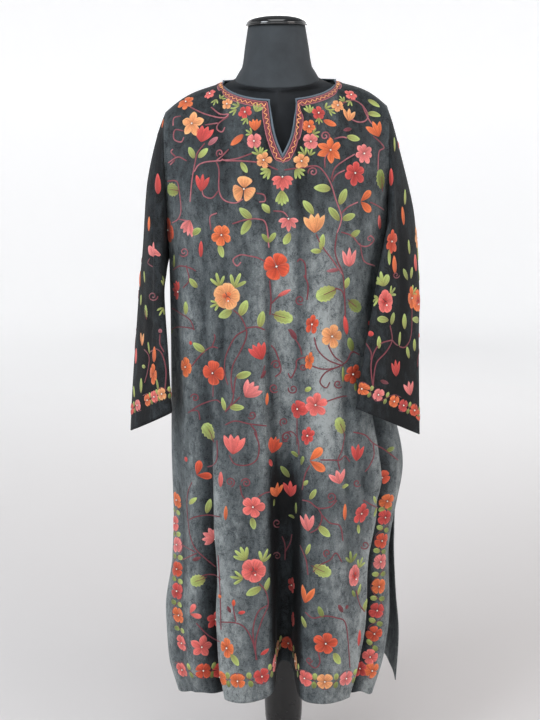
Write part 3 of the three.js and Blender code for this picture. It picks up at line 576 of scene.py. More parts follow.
class Cloth:
    """A sewn piece's outer face as a grid of points, in metres, which may close round on itself."""

    def __init__(self, points: np.ndarray, facing: int, around: bool) -> None:
        """Keep the grid and work out its outward directions."""
        self.points, self.facing, self.around = points, facing, around
        self.rows, self.columns = points.shape[:2]
        self.normals = self.directions()

    def directions(self) -> np.ndarray:
        """Work out the outward direction at each point."""
        if self.around:
            across = np.roll(self.points, -1, axis=1) - np.roll(self.points, 1, axis=1)
        else:
            across = np.gradient(self.points, axis=1)
        down = np.gradient(self.points, axis=0)
        normal = np.cross(across, down) * self.facing
        return normal / np.linalg.norm(normal, axis=-1, keepdims=True)

    def crease(self, creases: Iterable[Crease], room: np.ndarray, mirrored: bool = False) -> None:
        """Press creases into the face.

        Args:
            creases: The creases to press in.
            room: How much of each crease every point takes, from 0 to 1.
            mirrored: Whether the places are read as if the piece were turned to face the camera.
        """
        seen = self.points * np.array([-1, -1, 1]) if mirrored else self.points
        places = PHOTO.places(seen)
        depth = sum(c.amount(places) for c in creases)
        self.points = self.points - self.normals * (depth * room * MM)[..., None]
        self.normals = self.directions()

    def read(self, grid: np.ndarray, u: np.ndarray, v: np.ndarray) -> np.ndarray:
        """Read a grid between its points, at columns u and rows v."""
        v = np.clip(v, 0, self.rows - 1)
        if self.around:
            u = np.mod(u, self.columns)
            c0 = np.floor(u).astype(int) % self.columns
            c1 = (c0 + 1) % self.columns
            fu = u - np.floor(u)
        else:
            u = np.clip(u, 0, self.columns - 1)
            c0 = np.minimum(np.floor(u).astype(int), self.columns - 2)
            c1 = c0 + 1
            fu = u - c0
        r0 = np.minimum(np.floor(v).astype(int), self.rows - 2)
        fv = (v - r0)[..., None]
        fu = fu[..., None]
        upper = mix(grid[r0, c0], grid[r0, c1], fu)
        lower = mix(grid[r0 + 1, c0], grid[r0 + 1, c1], fu)
        return mix(upper, lower, fv)

    def spans(self, u: float, v: float) -> tuple[np.ndarray, np.ndarray]:
        """Measure one column's and one row's step on the cloth near a place."""
        reach = 3
        at = np.array([u - reach, u + reach, u, u], float), np.array([v, v, v - reach, v + reach], float)
        p = self.read(self.points, *at)
        wide = 2.0 * reach if self.around else float(np.ptp(np.clip(at[0][:2], 0, self.columns - 1)))
        tall = float(np.ptp(np.clip(at[1][2:], 0, self.rows - 1)))
        return (p[1] - p[0]) / wide, (p[3] - p[2]) / tall

    def tree(self) -> BVHTree:
        """Make the search tree of the outer face."""
        index = np.arange(self.rows * self.columns).reshape(self.rows, self.columns)
        quads = self.quads(index)
        return BVHTree.FromPolygons([tuple(p) for p in self.points.reshape(-1, 3)], [tuple(q) for q in quads])

    def quads(self, index: np.ndarray) -> np.ndarray:
        """List the face's quads, row by row."""
        right = np.roll(index, -1, axis=1) if self.around else index[:, 1:]
        left = index if self.around else index[:, :-1]
        quads = np.stack([left[:-1], left[1:], right[1:], right[:-1]], axis=-1).reshape(-1, 4)
        return quads if self.facing > 0 else quads[:, ::-1]

    def quad_place(self, number: int, point: np.ndarray) -> tuple[float, float]:
        """Turn a quad's number and a point in it into a column and a row."""
        width = self.columns if self.around else self.columns - 1
        row, column = divmod(number, width)
        corner = self.points[row, column]
        across = self.points[row, (column + 1) % self.columns] - corner
        down = self.points[row + 1, column] - corner
        away = point - corner
        matrix = np.array([[across @ across, across @ down], [across @ down, down @ down]])
        part = np.linalg.solve(matrix + np.eye(2) * 1e-12, np.array([across @ away, down @ away]))
        return column + float(part[0]), row + float(part[1])

    def shell(self, name: str, wall: float) -> bpy.types.Object:
        """Make the thin closed shell of the cloth, with the outer face's quads first.

        Args:
            name: The object's name.
            wall: The cloth's thickness in mm.

        Returns:
            The object, with material slot 0 on the outer face and 1 on the inner one.
        """
        inner = self.points - self.normals * wall * MM
        index = np.arange(self.rows * self.columns).reshape(self.rows, self.columns)
        outside = self.quads(index)
        inside = self.quads(index + index.size)[:, ::-1]
        rims = []
        for line, back in ((index[0], False), (index[-1], True)):
            after = np.roll(line, -1) if self.around else line[1:]
            before = line if self.around else line[:-1]
            rim = np.stack([before, after, after + index.size, before + index.size], axis=-1)
            rims.append(rim[:, ::-1] if back else rim)
        if not self.around:
            for line, back in ((index[:, 0], True), (index[:, -1], False)):
                rim = np.stack([line[:-1], line[1:], line[1:] + index.size, line[:-1] + index.size], axis=-1)
                rims.append(rim[:, ::-1] if back else rim)
        rim = np.vstack(rims)
        if self.facing < 0:
            rim = rim[:, ::-1]
        quads = np.vstack([outside, rim, inside])
        slots = np.concatenate([np.zeros(len(outside) + len(rim), int), np.ones(len(inside), int)])
        thing = quad_object(name, np.vstack([self.points.reshape(-1, 3), inner.reshape(-1, 3)]), quads, slots)
        # How deep each point lies between its folds, from which the velvet paints shade in the troughs and
        # highlight on the ridges
        hollow = np.tile(self.hollows().ravel(), 2).astype(np.float32)
        thing.data.attributes.new("hollow", "FLOAT", "POINT").data.foreach_set("value", hollow)
        return thing

    def hollows(self) -> np.ndarray:
        """Tell how deep each point lies between the folds beside it, in units of 20 mm."""
        outward = self.points - self.points.mean(axis=1, keepdims=True)
        outward[..., 2] = 0
        outward /= np.maximum(np.linalg.norm(outward, axis=-1, keepdims=True), 1e-9)
        depth = np.zeros(self.points.shape[:2])
        for reach, weight in ((24, 0.4), (10, 1.1)):
            if self.around:
                beside = self.points[:, -reach:], self.points, self.points[:, :reach]
                padded = np.concatenate(beside, axis=1)
            else:
                padded = np.pad(self.points, ((0, 0), (reach, reach), (0, 0)), mode="edge")
            total = np.cumsum(np.pad(padded, ((0, 0), (1, 0), (0, 0))), axis=1)
            middle = (total[:, 2 * reach + 1 :] - total[:, : -2 * reach - 1]) / (2 * reach + 1)
            depth += weight * ((middle - self.points) * outward).sum(-1)
        return depth / (20 * MM)


def quad_object(
    name: str, points: np.ndarray, quads: np.ndarray, slots: np.ndarray | None = None
) -> bpy.types.Object:
    """Make a smooth object from points and quads."""
    mesh = bpy.data.meshes.new(name)
    mesh.vertices.add(len(points))
    mesh.vertices.foreach_set("co", np.ascontiguousarray(points, np.float32).ravel())
    mesh.loops.add(quads.size)
    mesh.loops.foreach_set("vertex_index", np.ascontiguousarray(quads, np.int32).ravel())
    mesh.polygons.add(len(quads))
    mesh.polygons.foreach_set("loop_start", np.arange(0, quads.size, 4, dtype=np.int32))
    mesh.polygons.foreach_set("loop_total", np.full(len(quads), 4, np.int32))
    if slots is not None:
        mesh.polygons.foreach_set("material_index", np.asarray(slots, np.int32))
    mesh.update(calc_edges=True)
    mesh.validate()
    mesh.polygons.foreach_set("use_smooth", np.ones(len(mesh.polygons), bool))
    thing = bpy.data.objects.new(name, mesh)
    bpy.context.scene.collection.objects.link(thing)
    return thing


def add(tree: bpy.types.NodeTree, kind: str, links: dict | None = None, **settings) -> bpy.types.Node:
    """Add a node with its settings and links.

    Args:
        tree: The material's node tree.
        kind: The node's type, without its leading ShaderNode.
        links: For an input's name or number, the output socket or the plain value it takes.
        **settings: The node's own properties.

    Returns:
        The node.
    """
    node = tree.nodes.new("ShaderNode" + kind)
    for name, value in settings.items():
        setattr(node, name, value)
    for socket, source in (links or {}).items():
        if isinstance(source, bpy.types.NodeSocket):
            tree.links.new(source, node.inputs[socket])
        else:
            node.inputs[socket].default_value = source
    return node


def sums(tree: Tree, operation: str, first: Socket | float, second: Socket | float = 0.5) -> Socket:
    """Combine two values by a Math node's operation; one with a single operand leaves out the second."""
    return add(tree, "Math", {0: first, 1: second}, operation=operation).outputs[0]


def remap(
    tree: Tree, value: Socket, span: tuple[float, float], onto: tuple[float, float], smooth: bool = False
) -> Socket:
    """Map a value from one span onto another.

    Args:
        tree: The material's node tree.
        value: The value.
        span: The value's two ends; outside them the result stays at its own ends.
        onto: What the two ends become.
        smooth: Whether the result eases in and out.

    Returns:
        The socket of the result.
    """
    kind = {"interpolation_type": "SMOOTHSTEP"} if smooth else {}
    links = {0: value, 1: span[0], 2: span[1], 3: onto[0], 4: onto[1]}
    return add(tree, "MapRange", links, **kind).outputs[0]


def ramp(tree: Tree, factor: Socket, stops: Sequence[tuple[float, int]]) -> Socket:
    """Turn a factor into colours along stops of place and sRGB hex."""
    node = add(tree, "ValToRGB", {"Fac": factor})
    band = node.color_ramp.elements
    while len(band) < len(stops):
        band.new(0.5)
    for element, (place, code) in zip(band, stops):
        element.position, element.color = place, linear(code)
    return node.outputs["Color"]


def new_material(name: str) -> tuple[bpy.types.Material, bpy.types.NodeTree, bpy.types.Node]:
    """Make a material with an empty Principled shader."""
    material = bpy.data.materials.new(name)
    material.use_nodes = True
    tree = material.node_tree
    tree.nodes.clear()
    shader = add(tree, "BsdfPrincipled")
    add(tree, "OutputMaterial", {"Surface": shader.outputs["BSDF"]})
    return material, tree, shader


@dataclass(frozen=True)
class CrushedVelvet:
    """Cotton velvet, woven with a cut pile and then crushed.

    The pile lies in every direction in patches, so the cloth is dark and bright in clouds of 10 to 20 mm
    that run lengthwise, with thin dark veins where it was crushed and a soft pale sheen at its edges.
    """

    name: str
    night: int = 0x0E1012
    deep: int = 0x23282B
    shade: int = 0x3A4043
    body: int = 0x5E6466
    light: int = 0x949A9A
    yoke: tuple[float, float] = (1.2, 1.37)
    yoke_dark: float = 0.16
    everywhere_dark: float = 0.02
    # How strong the painted shade in the folds' troughs is
    trough_shade: float = 0.5
    # The painted highlight down the middle of the front and the painted shadow in the fold under it: their
    # places across, in metres from the middle, how far from there they are whole and how far from there they
    # end, and how strong they are
    middle: tuple[float, float, float] = (0.035, 0.03, 0.13)
    middle_highlight: float = 0.17
    middle_ends: tuple[float, float] = (1.12, 1.26)
    fold: tuple[float, float, float] = (0.004, 0.018, 0.038)
    fold_shadow: float = 0.3
    fold_starts: tuple[float, float] = (0.66, 0.8)
    sheen: float = 0.16

    def make(self) -> bpy.types.Material:
        """Make the material."""
        material, tree, shader = new_material(self.name)
        place = add(tree, "TexCoord").outputs["Object"]
        long_way = add(tree, "Mapping", {"Vector": place, "Scale": (1.0, 1.0, 0.5)}).outputs["Vector"]
        # Clouds 90 mm wide, mottles 12 mm, veins 2 mm and pile tufts 1.5 mm; the real tufts are 0.4 mm
        clouds = self.noise(tree, long_way, 11.0, 4.0, 0.6)
        mottle = self.noise(tree, long_way, 78.0, 9.0, 0.74, Distortion=0.25)
        tufts = self.noise(tree, place, 560.0, 2.0, 0.6)
        creases = self.noise(tree, place, 46.0, 6.0, 0.66, Distortion=0.7)
        height = add(tree, "SeparateXYZ", {"Vector": place}).outputs["Z"]
        # Darker from the chest up into the yoke, with an uneven edge: partly the pile's own tone and partly
        # painted shade
        uneven = remap(tree, clouds, (0.3, 0.7), (-0.1, 0.1))
        edge = sums(tree, "ADD", height, uneven)
        dark = remap(tree, edge, self.yoke, (self.everywhere_dark, self.yoke_dark), smooth=True)
        both = add(tree, "Mix", {0: 0.6, 2: clouds, 3: mottle}).outputs[0]
        tufted = add(tree, "Mix", {0: 0.2, 2: both, 3: tufts}).outputs[0]
        # Painted shade in the folds' troughs and painted highlight on their ridges, from how deep each point
        # lies between its folds
        hollow = add(tree, "Attribute", attribute_name="hollow").outputs["Fac"]
        fold_shade_and_light = remap(tree, hollow, (-0.7, 1.25), (-0.1, self.trough_shade), smooth=True)
        lower = sums(tree, "SUBTRACT", tufted, dark)
        folded = sums(tree, "SUBTRACT", lower, fold_shade_and_light)
        # Painted highlight down the front's middle and painted shadow in the fold under it
        lowered = sums(tree, "ADD", folded, self.paint_middle_light_and_shadow(tree, place, height))
        # Where the cloth was crushed, thin dark veins follow the middle of a noise
        off_middle = sums(tree, "SUBTRACT", creases, 0.5)
        thin = sums(tree, "ABSOLUTE", off_middle)
        vein = remap(tree, thin, (0.0, 0.022), (0.17, 0.0))
        patchy = remap(tree, mottle, (0.56, 0.44), (0.0, 1.0))
        crushed = sums(tree, "MULTIPLY", vein, patchy)
        final = sums(tree, "SUBTRACT", lowered, crushed)
        spread = remap(tree, final, (0.17, 0.68), (0.0, 1.0))
        tones = (self.night, self.deep, self.shade, self.body, self.light)
        stops = tuple(zip((0.0, 0.14, 0.4, 0.66, 0.95), tones))
        tree.links.new(ramp(tree, spread, stops), shader.inputs["Base Color"])
        tree.links.new(remap(tree, mottle, (0.3, 0.7), (0.66, 0.9)), shader.inputs["Roughness"])
        # The sheen weight follows the same tone, so it also falls in the painted shade of the troughs
        tree.links.new(remap(tree, final, (0.05, 0.5), (0.0, self.sheen)), shader.inputs["Sheen Weight"])
        shader.inputs["Sheen Roughness"].default_value = 0.42
        shader.inputs["Sheen Tint"].default_value = linear(0xB4BDBF)
        shader.inputs["Specular IOR Level"].default_value = 0.25
        crush = add(tree, "Bump", {"Strength": 0.6, "Distance": 0.0022, "Height": mottle}).outputs["Normal"]
        pile = add(tree, "Bump", {"Strength": 0.3, "Distance": 0.0005, "Height": tufts, "Normal": crush})
        tree.links.new(pile.outputs["Normal"], shader.inputs["Normal"])
        return material

    def noise(
        self, tree: Tree, place: Socket, scale: float, detail: float, rough: float, **more: float
    ) -> Socket:
        """Add a noise over the cloth."""
        links = {"Vector": place, "Scale": scale, "Detail": detail, "Roughness": rough, **more}
        return add(tree, "TexNoise", links).outputs["Fac"]

    def paint_middle_light_and_shadow(self, tree: Tree, place: Socket, height: Socket) -> Socket:
        """Add the painted highlight down the body's middle and the painted shadow in the fold under it.

        Args:
            tree: The material's nodes.
            place: The place on the gown.
            height: The place's height above the floor.

        Returns:
            The socket of the change in tone.
        """
        across = add(tree, "SeparateXYZ", {"Vector": place}).outputs["X"]
        low = remap(tree, height, self.fold_starts, (1.0, 0.0), smooth=True)
        under_yoke = remap(tree, height, self.middle_ends, (1.0, 0.0), smooth=True)
        high = sums(tree, "SUBTRACT", 1.0, low)
        over_fold = sums(tree, "MULTIPLY", under_yoke, high)
        tones = []
        for (centre, whole, end), change, part in (
            (self.middle, self.middle_highlight, over_fold),
            (self.fold, -self.fold_shadow, low),
        ):
            off = sums(tree, "SUBTRACT", across, centre)
            far = sums(tree, "ABSOLUTE", off)
            tone = remap(tree, far, (whole, end), (change, 0.0), smooth=True)
            tones.append(sums(tree, "MULTIPLY", tone, part))
        return sums(tree, "ADD", tones[0], tones[1])


@dataclass(frozen=True)
class WovenCloth:
    """Plain woven or knitted cloth: the velvet's wrong side, bias tape and the form's jersey cover.

    A fine grid of threads with small uneven patches keeps it from looking like plastic.
    """

    name: str
    dark: int
    light: int
    thread_mm: float
    roughness: float = 0.85
    sheen: float = 0.1

    def make(self) -> bpy.types.Material:
        """Make the material."""
        material, tree, shader = new_material(self.name)
        place = add(tree, "TexCoord").outputs["Object"]
        count = 1000 / self.thread_mm
        threads = {"Vector": place, "Scale": count / 6.28, "Distortion": 1.2}
        weft = add(tree, "TexWave", threads, bands_direction="Z")
        warp = add(tree, "TexWave", threads, bands_direction="X")
        patches = add(tree, "TexNoise", {"Vector": place, "Scale": 24.0, "Detail": 5.0, "Roughness": 0.6})
        cross = add(tree, "Mix", {0: 0.5, 2: weft.outputs["Fac"], 3: warp.outputs["Fac"]}).outputs[0]
        tone = add(tree, "Mix", {0: 0.25, 2: patches.outputs["Fac"], 3: cross}).outputs[0]
        tree.links.new(ramp(tree, tone, ((0.25, self.dark), (0.75, self.light))), shader.inputs["Base Color"])
        shader.inputs["Roughness"].default_value = self.roughness
        shader.inputs["Sheen Weight"].default_value = self.sheen
        shader.inputs["Specular IOR Level"].default_value = 0.3
        bump = add(tree, "Bump", {"Strength": 0.3, "Distance": 0.0004, "Height": cross}).outputs["Normal"]
        tree.links.new(bump, shader.inputs["Normal"])
        return material


@dataclass(frozen=True)
class HardFinish:
    """A smooth hard surface: moulded glossy plastic, lacquered wood or satin painted steel.

    Faint dust and handling marks change the gloss in soft patches, so its reflections aren't perfect.
    """

    name: str
    colour: int
    worn: int
    low_gloss: float
    high_gloss: float
    coat: float = 0.0
    metallic: float = 0.0
    grain: float = 0.0

    def make(self) -> bpy.types.Material:
        """Make the material."""
        material, tree, shader = new_material(self.name)
        place = add(tree, "TexCoord").outputs["Object"]
        marks = add(tree, "TexNoise", {"Vector": place, "Scale": 38.0, "Detail": 6.0, "Roughness": 0.62})
        tint = ramp(tree, marks.outputs["Fac"], ((0.35, self.colour), (0.8, self.worn)))
        tree.links.new(tint, shader.inputs["Base Color"])
        gloss = remap(tree, marks.outputs["Fac"], (0.3, 0.75), (self.low_gloss, self.high_gloss))
        tree.links.new(gloss, shader.inputs["Roughness"])
        shader.inputs["Metallic"].default_value = self.metallic
        shader.inputs["Coat Weight"].default_value = self.coat
        shader.inputs["Coat Roughness"].default_value = 0.04
        fine = add(tree, "TexNoise", {"Vector": place, "Scale": 900.0, "Detail": 2.0})
        bump = add(tree, "Bump", {"Strength": self.grain, "Distance": 0.0003, "Height": fine.outputs["Fac"]})
        tree.links.new(bump.outputs["Normal"], shader.inputs["Normal"])
        return material


@dataclass(frozen=True)
class EmbroideryFloss:
    """Stranded art silk and wool thread, worked in rows of chain stitch.

    Its colour comes from each stitch, with painted highlights and painted shade on its rows and links, and
    the strands' twist breaks its soft shine every 1.1 mm along a row. The real links are 1.8 mm long and the
    strands 0.2 mm wide; the links are drawn as they are.
    """

    name: str = "art_silk_chain_stitch"
    link_mm: float = 1.8

    def make(self) -> bpy.types.Material:
        """Make the material."""
        material, tree, shader = new_material(self.name)
        tint = add(tree, "Attribute", attribute_name="thread").outputs["Color"]
        rows = add(tree, "UVMap", uv_map="rows").outputs["UV"]
        along = add(tree, "SeparateXYZ", {"Vector": rows}).outputs["X"]
        twist = add(tree, "Math", {0: along, 1: 2 * math.pi / self.link_mm}, operation="MULTIPLY").outputs[0]
        link = add(tree, "Math", {0: twist}, operation="SINE").outputs[0]
        place = add(tree, "TexCoord").outputs["Object"]
        strands = add(tree, "TexNoise", {"Vector": place, "Scale": 750.0, "Detail": 3.0, "Roughness": 0.6})
        shade = remap(tree, strands.outputs["Fac"], (0.25, 0.75), (0.72, 1.14))
        coloured = add(tree, "VectorMath", {0: tint, "Scale": shade}, operation="SCALE").outputs["Vector"]
        tree.links.new(coloured, shader.inputs["Base Color"])
        shader.inputs["Roughness"].default_value = 0.52
        shader.inputs["Sheen Weight"].default_value = 0.15
        shader.inputs["Specular IOR Level"].default_value = 0.4
        first = add(tree, "Bump", {"Strength": 0.5, "Distance": 0.0004, "Height": link}).outputs["Normal"]
        second = add(
            tree,
            "Bump",
            {"Strength": 0.3, "Distance": 0.0002, "Height": strands.outputs["Fac"], "Normal": first},
        )
        tree.links.new(second.outputs["Normal"], shader.inputs["Normal"])
        return material


@dataclass(frozen=True)
class SeamlessPaper:
    """Matte background paper, swept up behind the form, that glows with a painted light and turns paler on
    its far, rising part.
    """

    name: str = "seamless_background_paper"
    near: int = 0xD8D5D4
    far: int = 0xF6F6F6
    painted_glow: float = 0.27

    def make(self) -> bpy.types.Material:
        """Make the material."""
        material, tree, shader = new_material(self.name)
        place = add(tree, "TexCoord").outputs["Object"]
        fibres = add(tree, "TexNoise", {"Vector": place, "Scale": 3.0, "Detail": 2.0}).outputs["Fac"]
        distance = add(tree, "VectorMath", {0: place}, operation="LENGTH").outputs["Value"]
        # Painted light: the farther the paper lies from the form, the paler it is and the more it glows
        away = remap(tree, distance, (0.3, 5.2), (0.0, 1.0), smooth=True)
        uneven = add(tree, "Mix", {0: 0.03, 2: away, 3: fibres}).outputs[0]
        tree.links.new(ramp(tree, uneven, ((0.0, self.near), (1.0, self.far))), shader.inputs["Base Color"])
        shader.inputs["Roughness"].default_value = 0.95
        shader.inputs["Specular IOR Level"].default_value = 0.1
        shader.inputs["Emission Color"].default_value = linear(0xFBFBFC)
        glow = add(tree, "Math", {0: away, 1: self.painted_glow}, operation="MULTIPLY").outputs[0]
        tree.links.new(glow, shader.inputs["Emission Strength"])
        return material


class Finishes:
    """All the finishes of the gown, the form and its stand."""

    def __init__(self) -> None:
        """Make each material once."""
        self.velvet = CrushedVelvet("crushed_cotton_velvet").make()
        # The sleeves' copy of the velvet is darker all over, partly the pile's own tone and partly painted
        # shade, with less sheen, less painted fold shade and none of the front's painted middle highlight and
        # shadow
        self.sleeve_velvet = CrushedVelvet(
            "crushed_cotton_velvet_sleeves",
            everywhere_dark=0.37,
            yoke_dark=0.37,
            trough_shade=0.3,
            middle_highlight=0.0,
            fold_shadow=0.0,
            sheen=0.06,
        ).make()
        self.reverse = WovenCloth("velvet_wrong_side", 0x1F2124, 0x35363A, 1.0).make()
        self.tape = WovenCloth("bias_tape", 0x48535D, 0x6C7984, 0.8).make()
        self.jersey = WovenCloth("form_jersey_cover", 0x15171A, 0x22262A, 0.9, sheen=0.05).make()
        self.neck_jersey = WovenCloth("form_neck_cover", 0x2C3033, 0x3F4448, 0.9, sheen=0.05).make()
        self.cap = HardFinish("moulded_gloss_black_plastic", 0x08090A, 0x121416, 0.06, 0.16, coat=0.6).make()
        self.rim = HardFinish("polished_chrome_rim", 0xC9CED2, 0xB4BABF, 0.1, 0.2, metallic=1.0).make()
        self.lacquer = HardFinish(
            "black_lacquered_beech", 0x020202, 0x060606, 0.24, 0.36, coat=0.1, grain=0.1
        ).make()
        self.paint = HardFinish("satin_black_painted_steel", 0x101112, 0x1C1D1F, 0.34, 0.5, grain=0.3).make()
        self.floss = EmbroideryFloss().make()
        self.bead = HardFinish("pearl_white_bead", 0xF6EFE4, 0xE7DDCF, 0.15, 0.3, coat=0.5).make()
        self.paper = SeamlessPaper().make()


def dress(thing: bpy.types.Object, slot: str, *materials: bpy.types.Material) -> bpy.types.Object:
    """Give a piece its materials and its body."""
    thing.data.materials.clear()
    for material in materials:
        thing.data.materials.append(material)
    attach(thing, BODY)
    LOG.info("%s: %d faces", thing.name, len(thing.data.polygons))
    return thing


class Studio:
    """The pale floor, the paper behind the form, the soft lights and the camera."""

    FLOOR_RADIUS, SWEEP, WALL_TOP, SIDES, STEPS = 4.6, 1.4, 5.0, 96, 12

    def backdrop(self, finishes: Finishes) -> bpy.types.Object:
        """Make the floor and the wall as one round sweep."""
        profile = [(0.01, 0.0), (self.FLOOR_RADIUS * 0.5, 0.0), (self.FLOOR_RADIUS, 0.0)]
        for i in range(1, self.STEPS + 1):
            turn = math.pi / 2 * i / self.STEPS
            out, rise = self.SWEEP * math.sin(turn), self.SWEEP * (1 - math.cos(turn))
            profile.append((self.FLOOR_RADIUS + out, rise))
        profile.append((self.FLOOR_RADIUS + self.SWEEP, self.WALL_TOP))
        sweep = turned("studio_floor", profile, self.SIDES, inward=True)
        sweep.data.materials.append(finishes.paper)
        return sweep

    def light(
        self, name: str, place: Sequence[float], aim: Sequence[float], size: float, watts: float, tint: int
    ) -> None:
        """Hang one soft square light, aimed at a point."""
        data = bpy.data.lights.new(name, "AREA")
        data.shape, data.size, data.energy = "SQUARE", size, watts
        data.color = linear(tint)[:3]
        lamp = bpy.data.objects.new(name, data)
        lamp.location = place
        lamp.rotation_mode = "QUATERNION"
        lamp.rotation_quaternion = (Vector(aim) - Vector(place)).to_track_quat("-Z", "Y")
        bpy.context.scene.collection.objects.link(lamp)

    def build(self, finishes: Finishes) -> None:
        """Build the studio."""
        PHOTO.make()
        self.backdrop(finishes)
        self.light("key_softbox", (-2.3, -1.9, 2.9), (0, 0, 0.95), 1.4, 60, 0xF4F9FF)
        self.light("fill_softbox", (2.6, -1.7, 2.0), (0, 0, 0.9), 1.5, 29, 0xFFF3EE)
        self.light("top_softbox", (0, -0.9, 3.3), (0, 0, 1.0), 1.5, 19, 0xFFFFFF)
        self.light("back_softbox", (0.4, 2.9, 2.3), (0, 0, 1.0), 1.8, 22, 0xFFFFFF)
        world = bpy.data.worlds.new("soft_studio")
        world.use_nodes = True
        ground = world.node_tree.nodes["Background"]
        ground.inputs["Color"].default_value = linear(0xEEF1F5)
        ground.inputs["Strength"].default_value = 0.31
        bpy.context.scene.world = world
        bpy.context.scene.view_settings.view_transform = "Standard"


def turned(
    name: str, profile: Sequence[tuple[float, float]], sides: int, inward: bool = False
) -> bpy.types.Object:
    """Turn a profile of radius and height, in metres, round the stand's axis."""
    angle = 2 * np.pi * np.arange(sides) / sides
    rings = [np.stack([r * np.cos(angle), r * np.sin(angle), np.full(sides, z)], axis=-1) for r, z in profile]
    points = np.vstack(rings)
    index = np.arange(len(points)).reshape(len(profile), sides)
    after = np.roll(index, -1, axis=1)
    quads = np.stack([index[:-1], after[:-1], after[1:], index[1:]], axis=-1).reshape(-1, 4)
    return quad_object(name, points, quads[:, ::-1] if inward else quads)


def closed(profile: Sequence[tuple[float, float]], tip: float = 0.0001) -> list[tuple[float, float]]:
    """Close a profile, in mm, to the axis at both ends, and turn it to metres."""
    ends = [(tip / MM, profile[0][1]), *profile, (tip / MM, profile[-1][1])]
    return [(r * MM, z * MM) for r, z in ends]


def rounded(profile: Sequence[tuple[float, float]], steps: int) -> list[tuple[float, float]]:
    """Read a profile of radius and height smoothly, in steps for each of its stretches."""
    heights = [z for _, z in profile]
    at = np.concatenate([np.linspace(a, b, steps, endpoint=False) for a, b in zip(heights, heights[1:])])
    at = np.append(at, heights[-1])
    radii = read_table(heights, np.array([r for r, _ in profile]), at)[:, 0]
    return list(zip(radii.tolist(), at.tolist()))


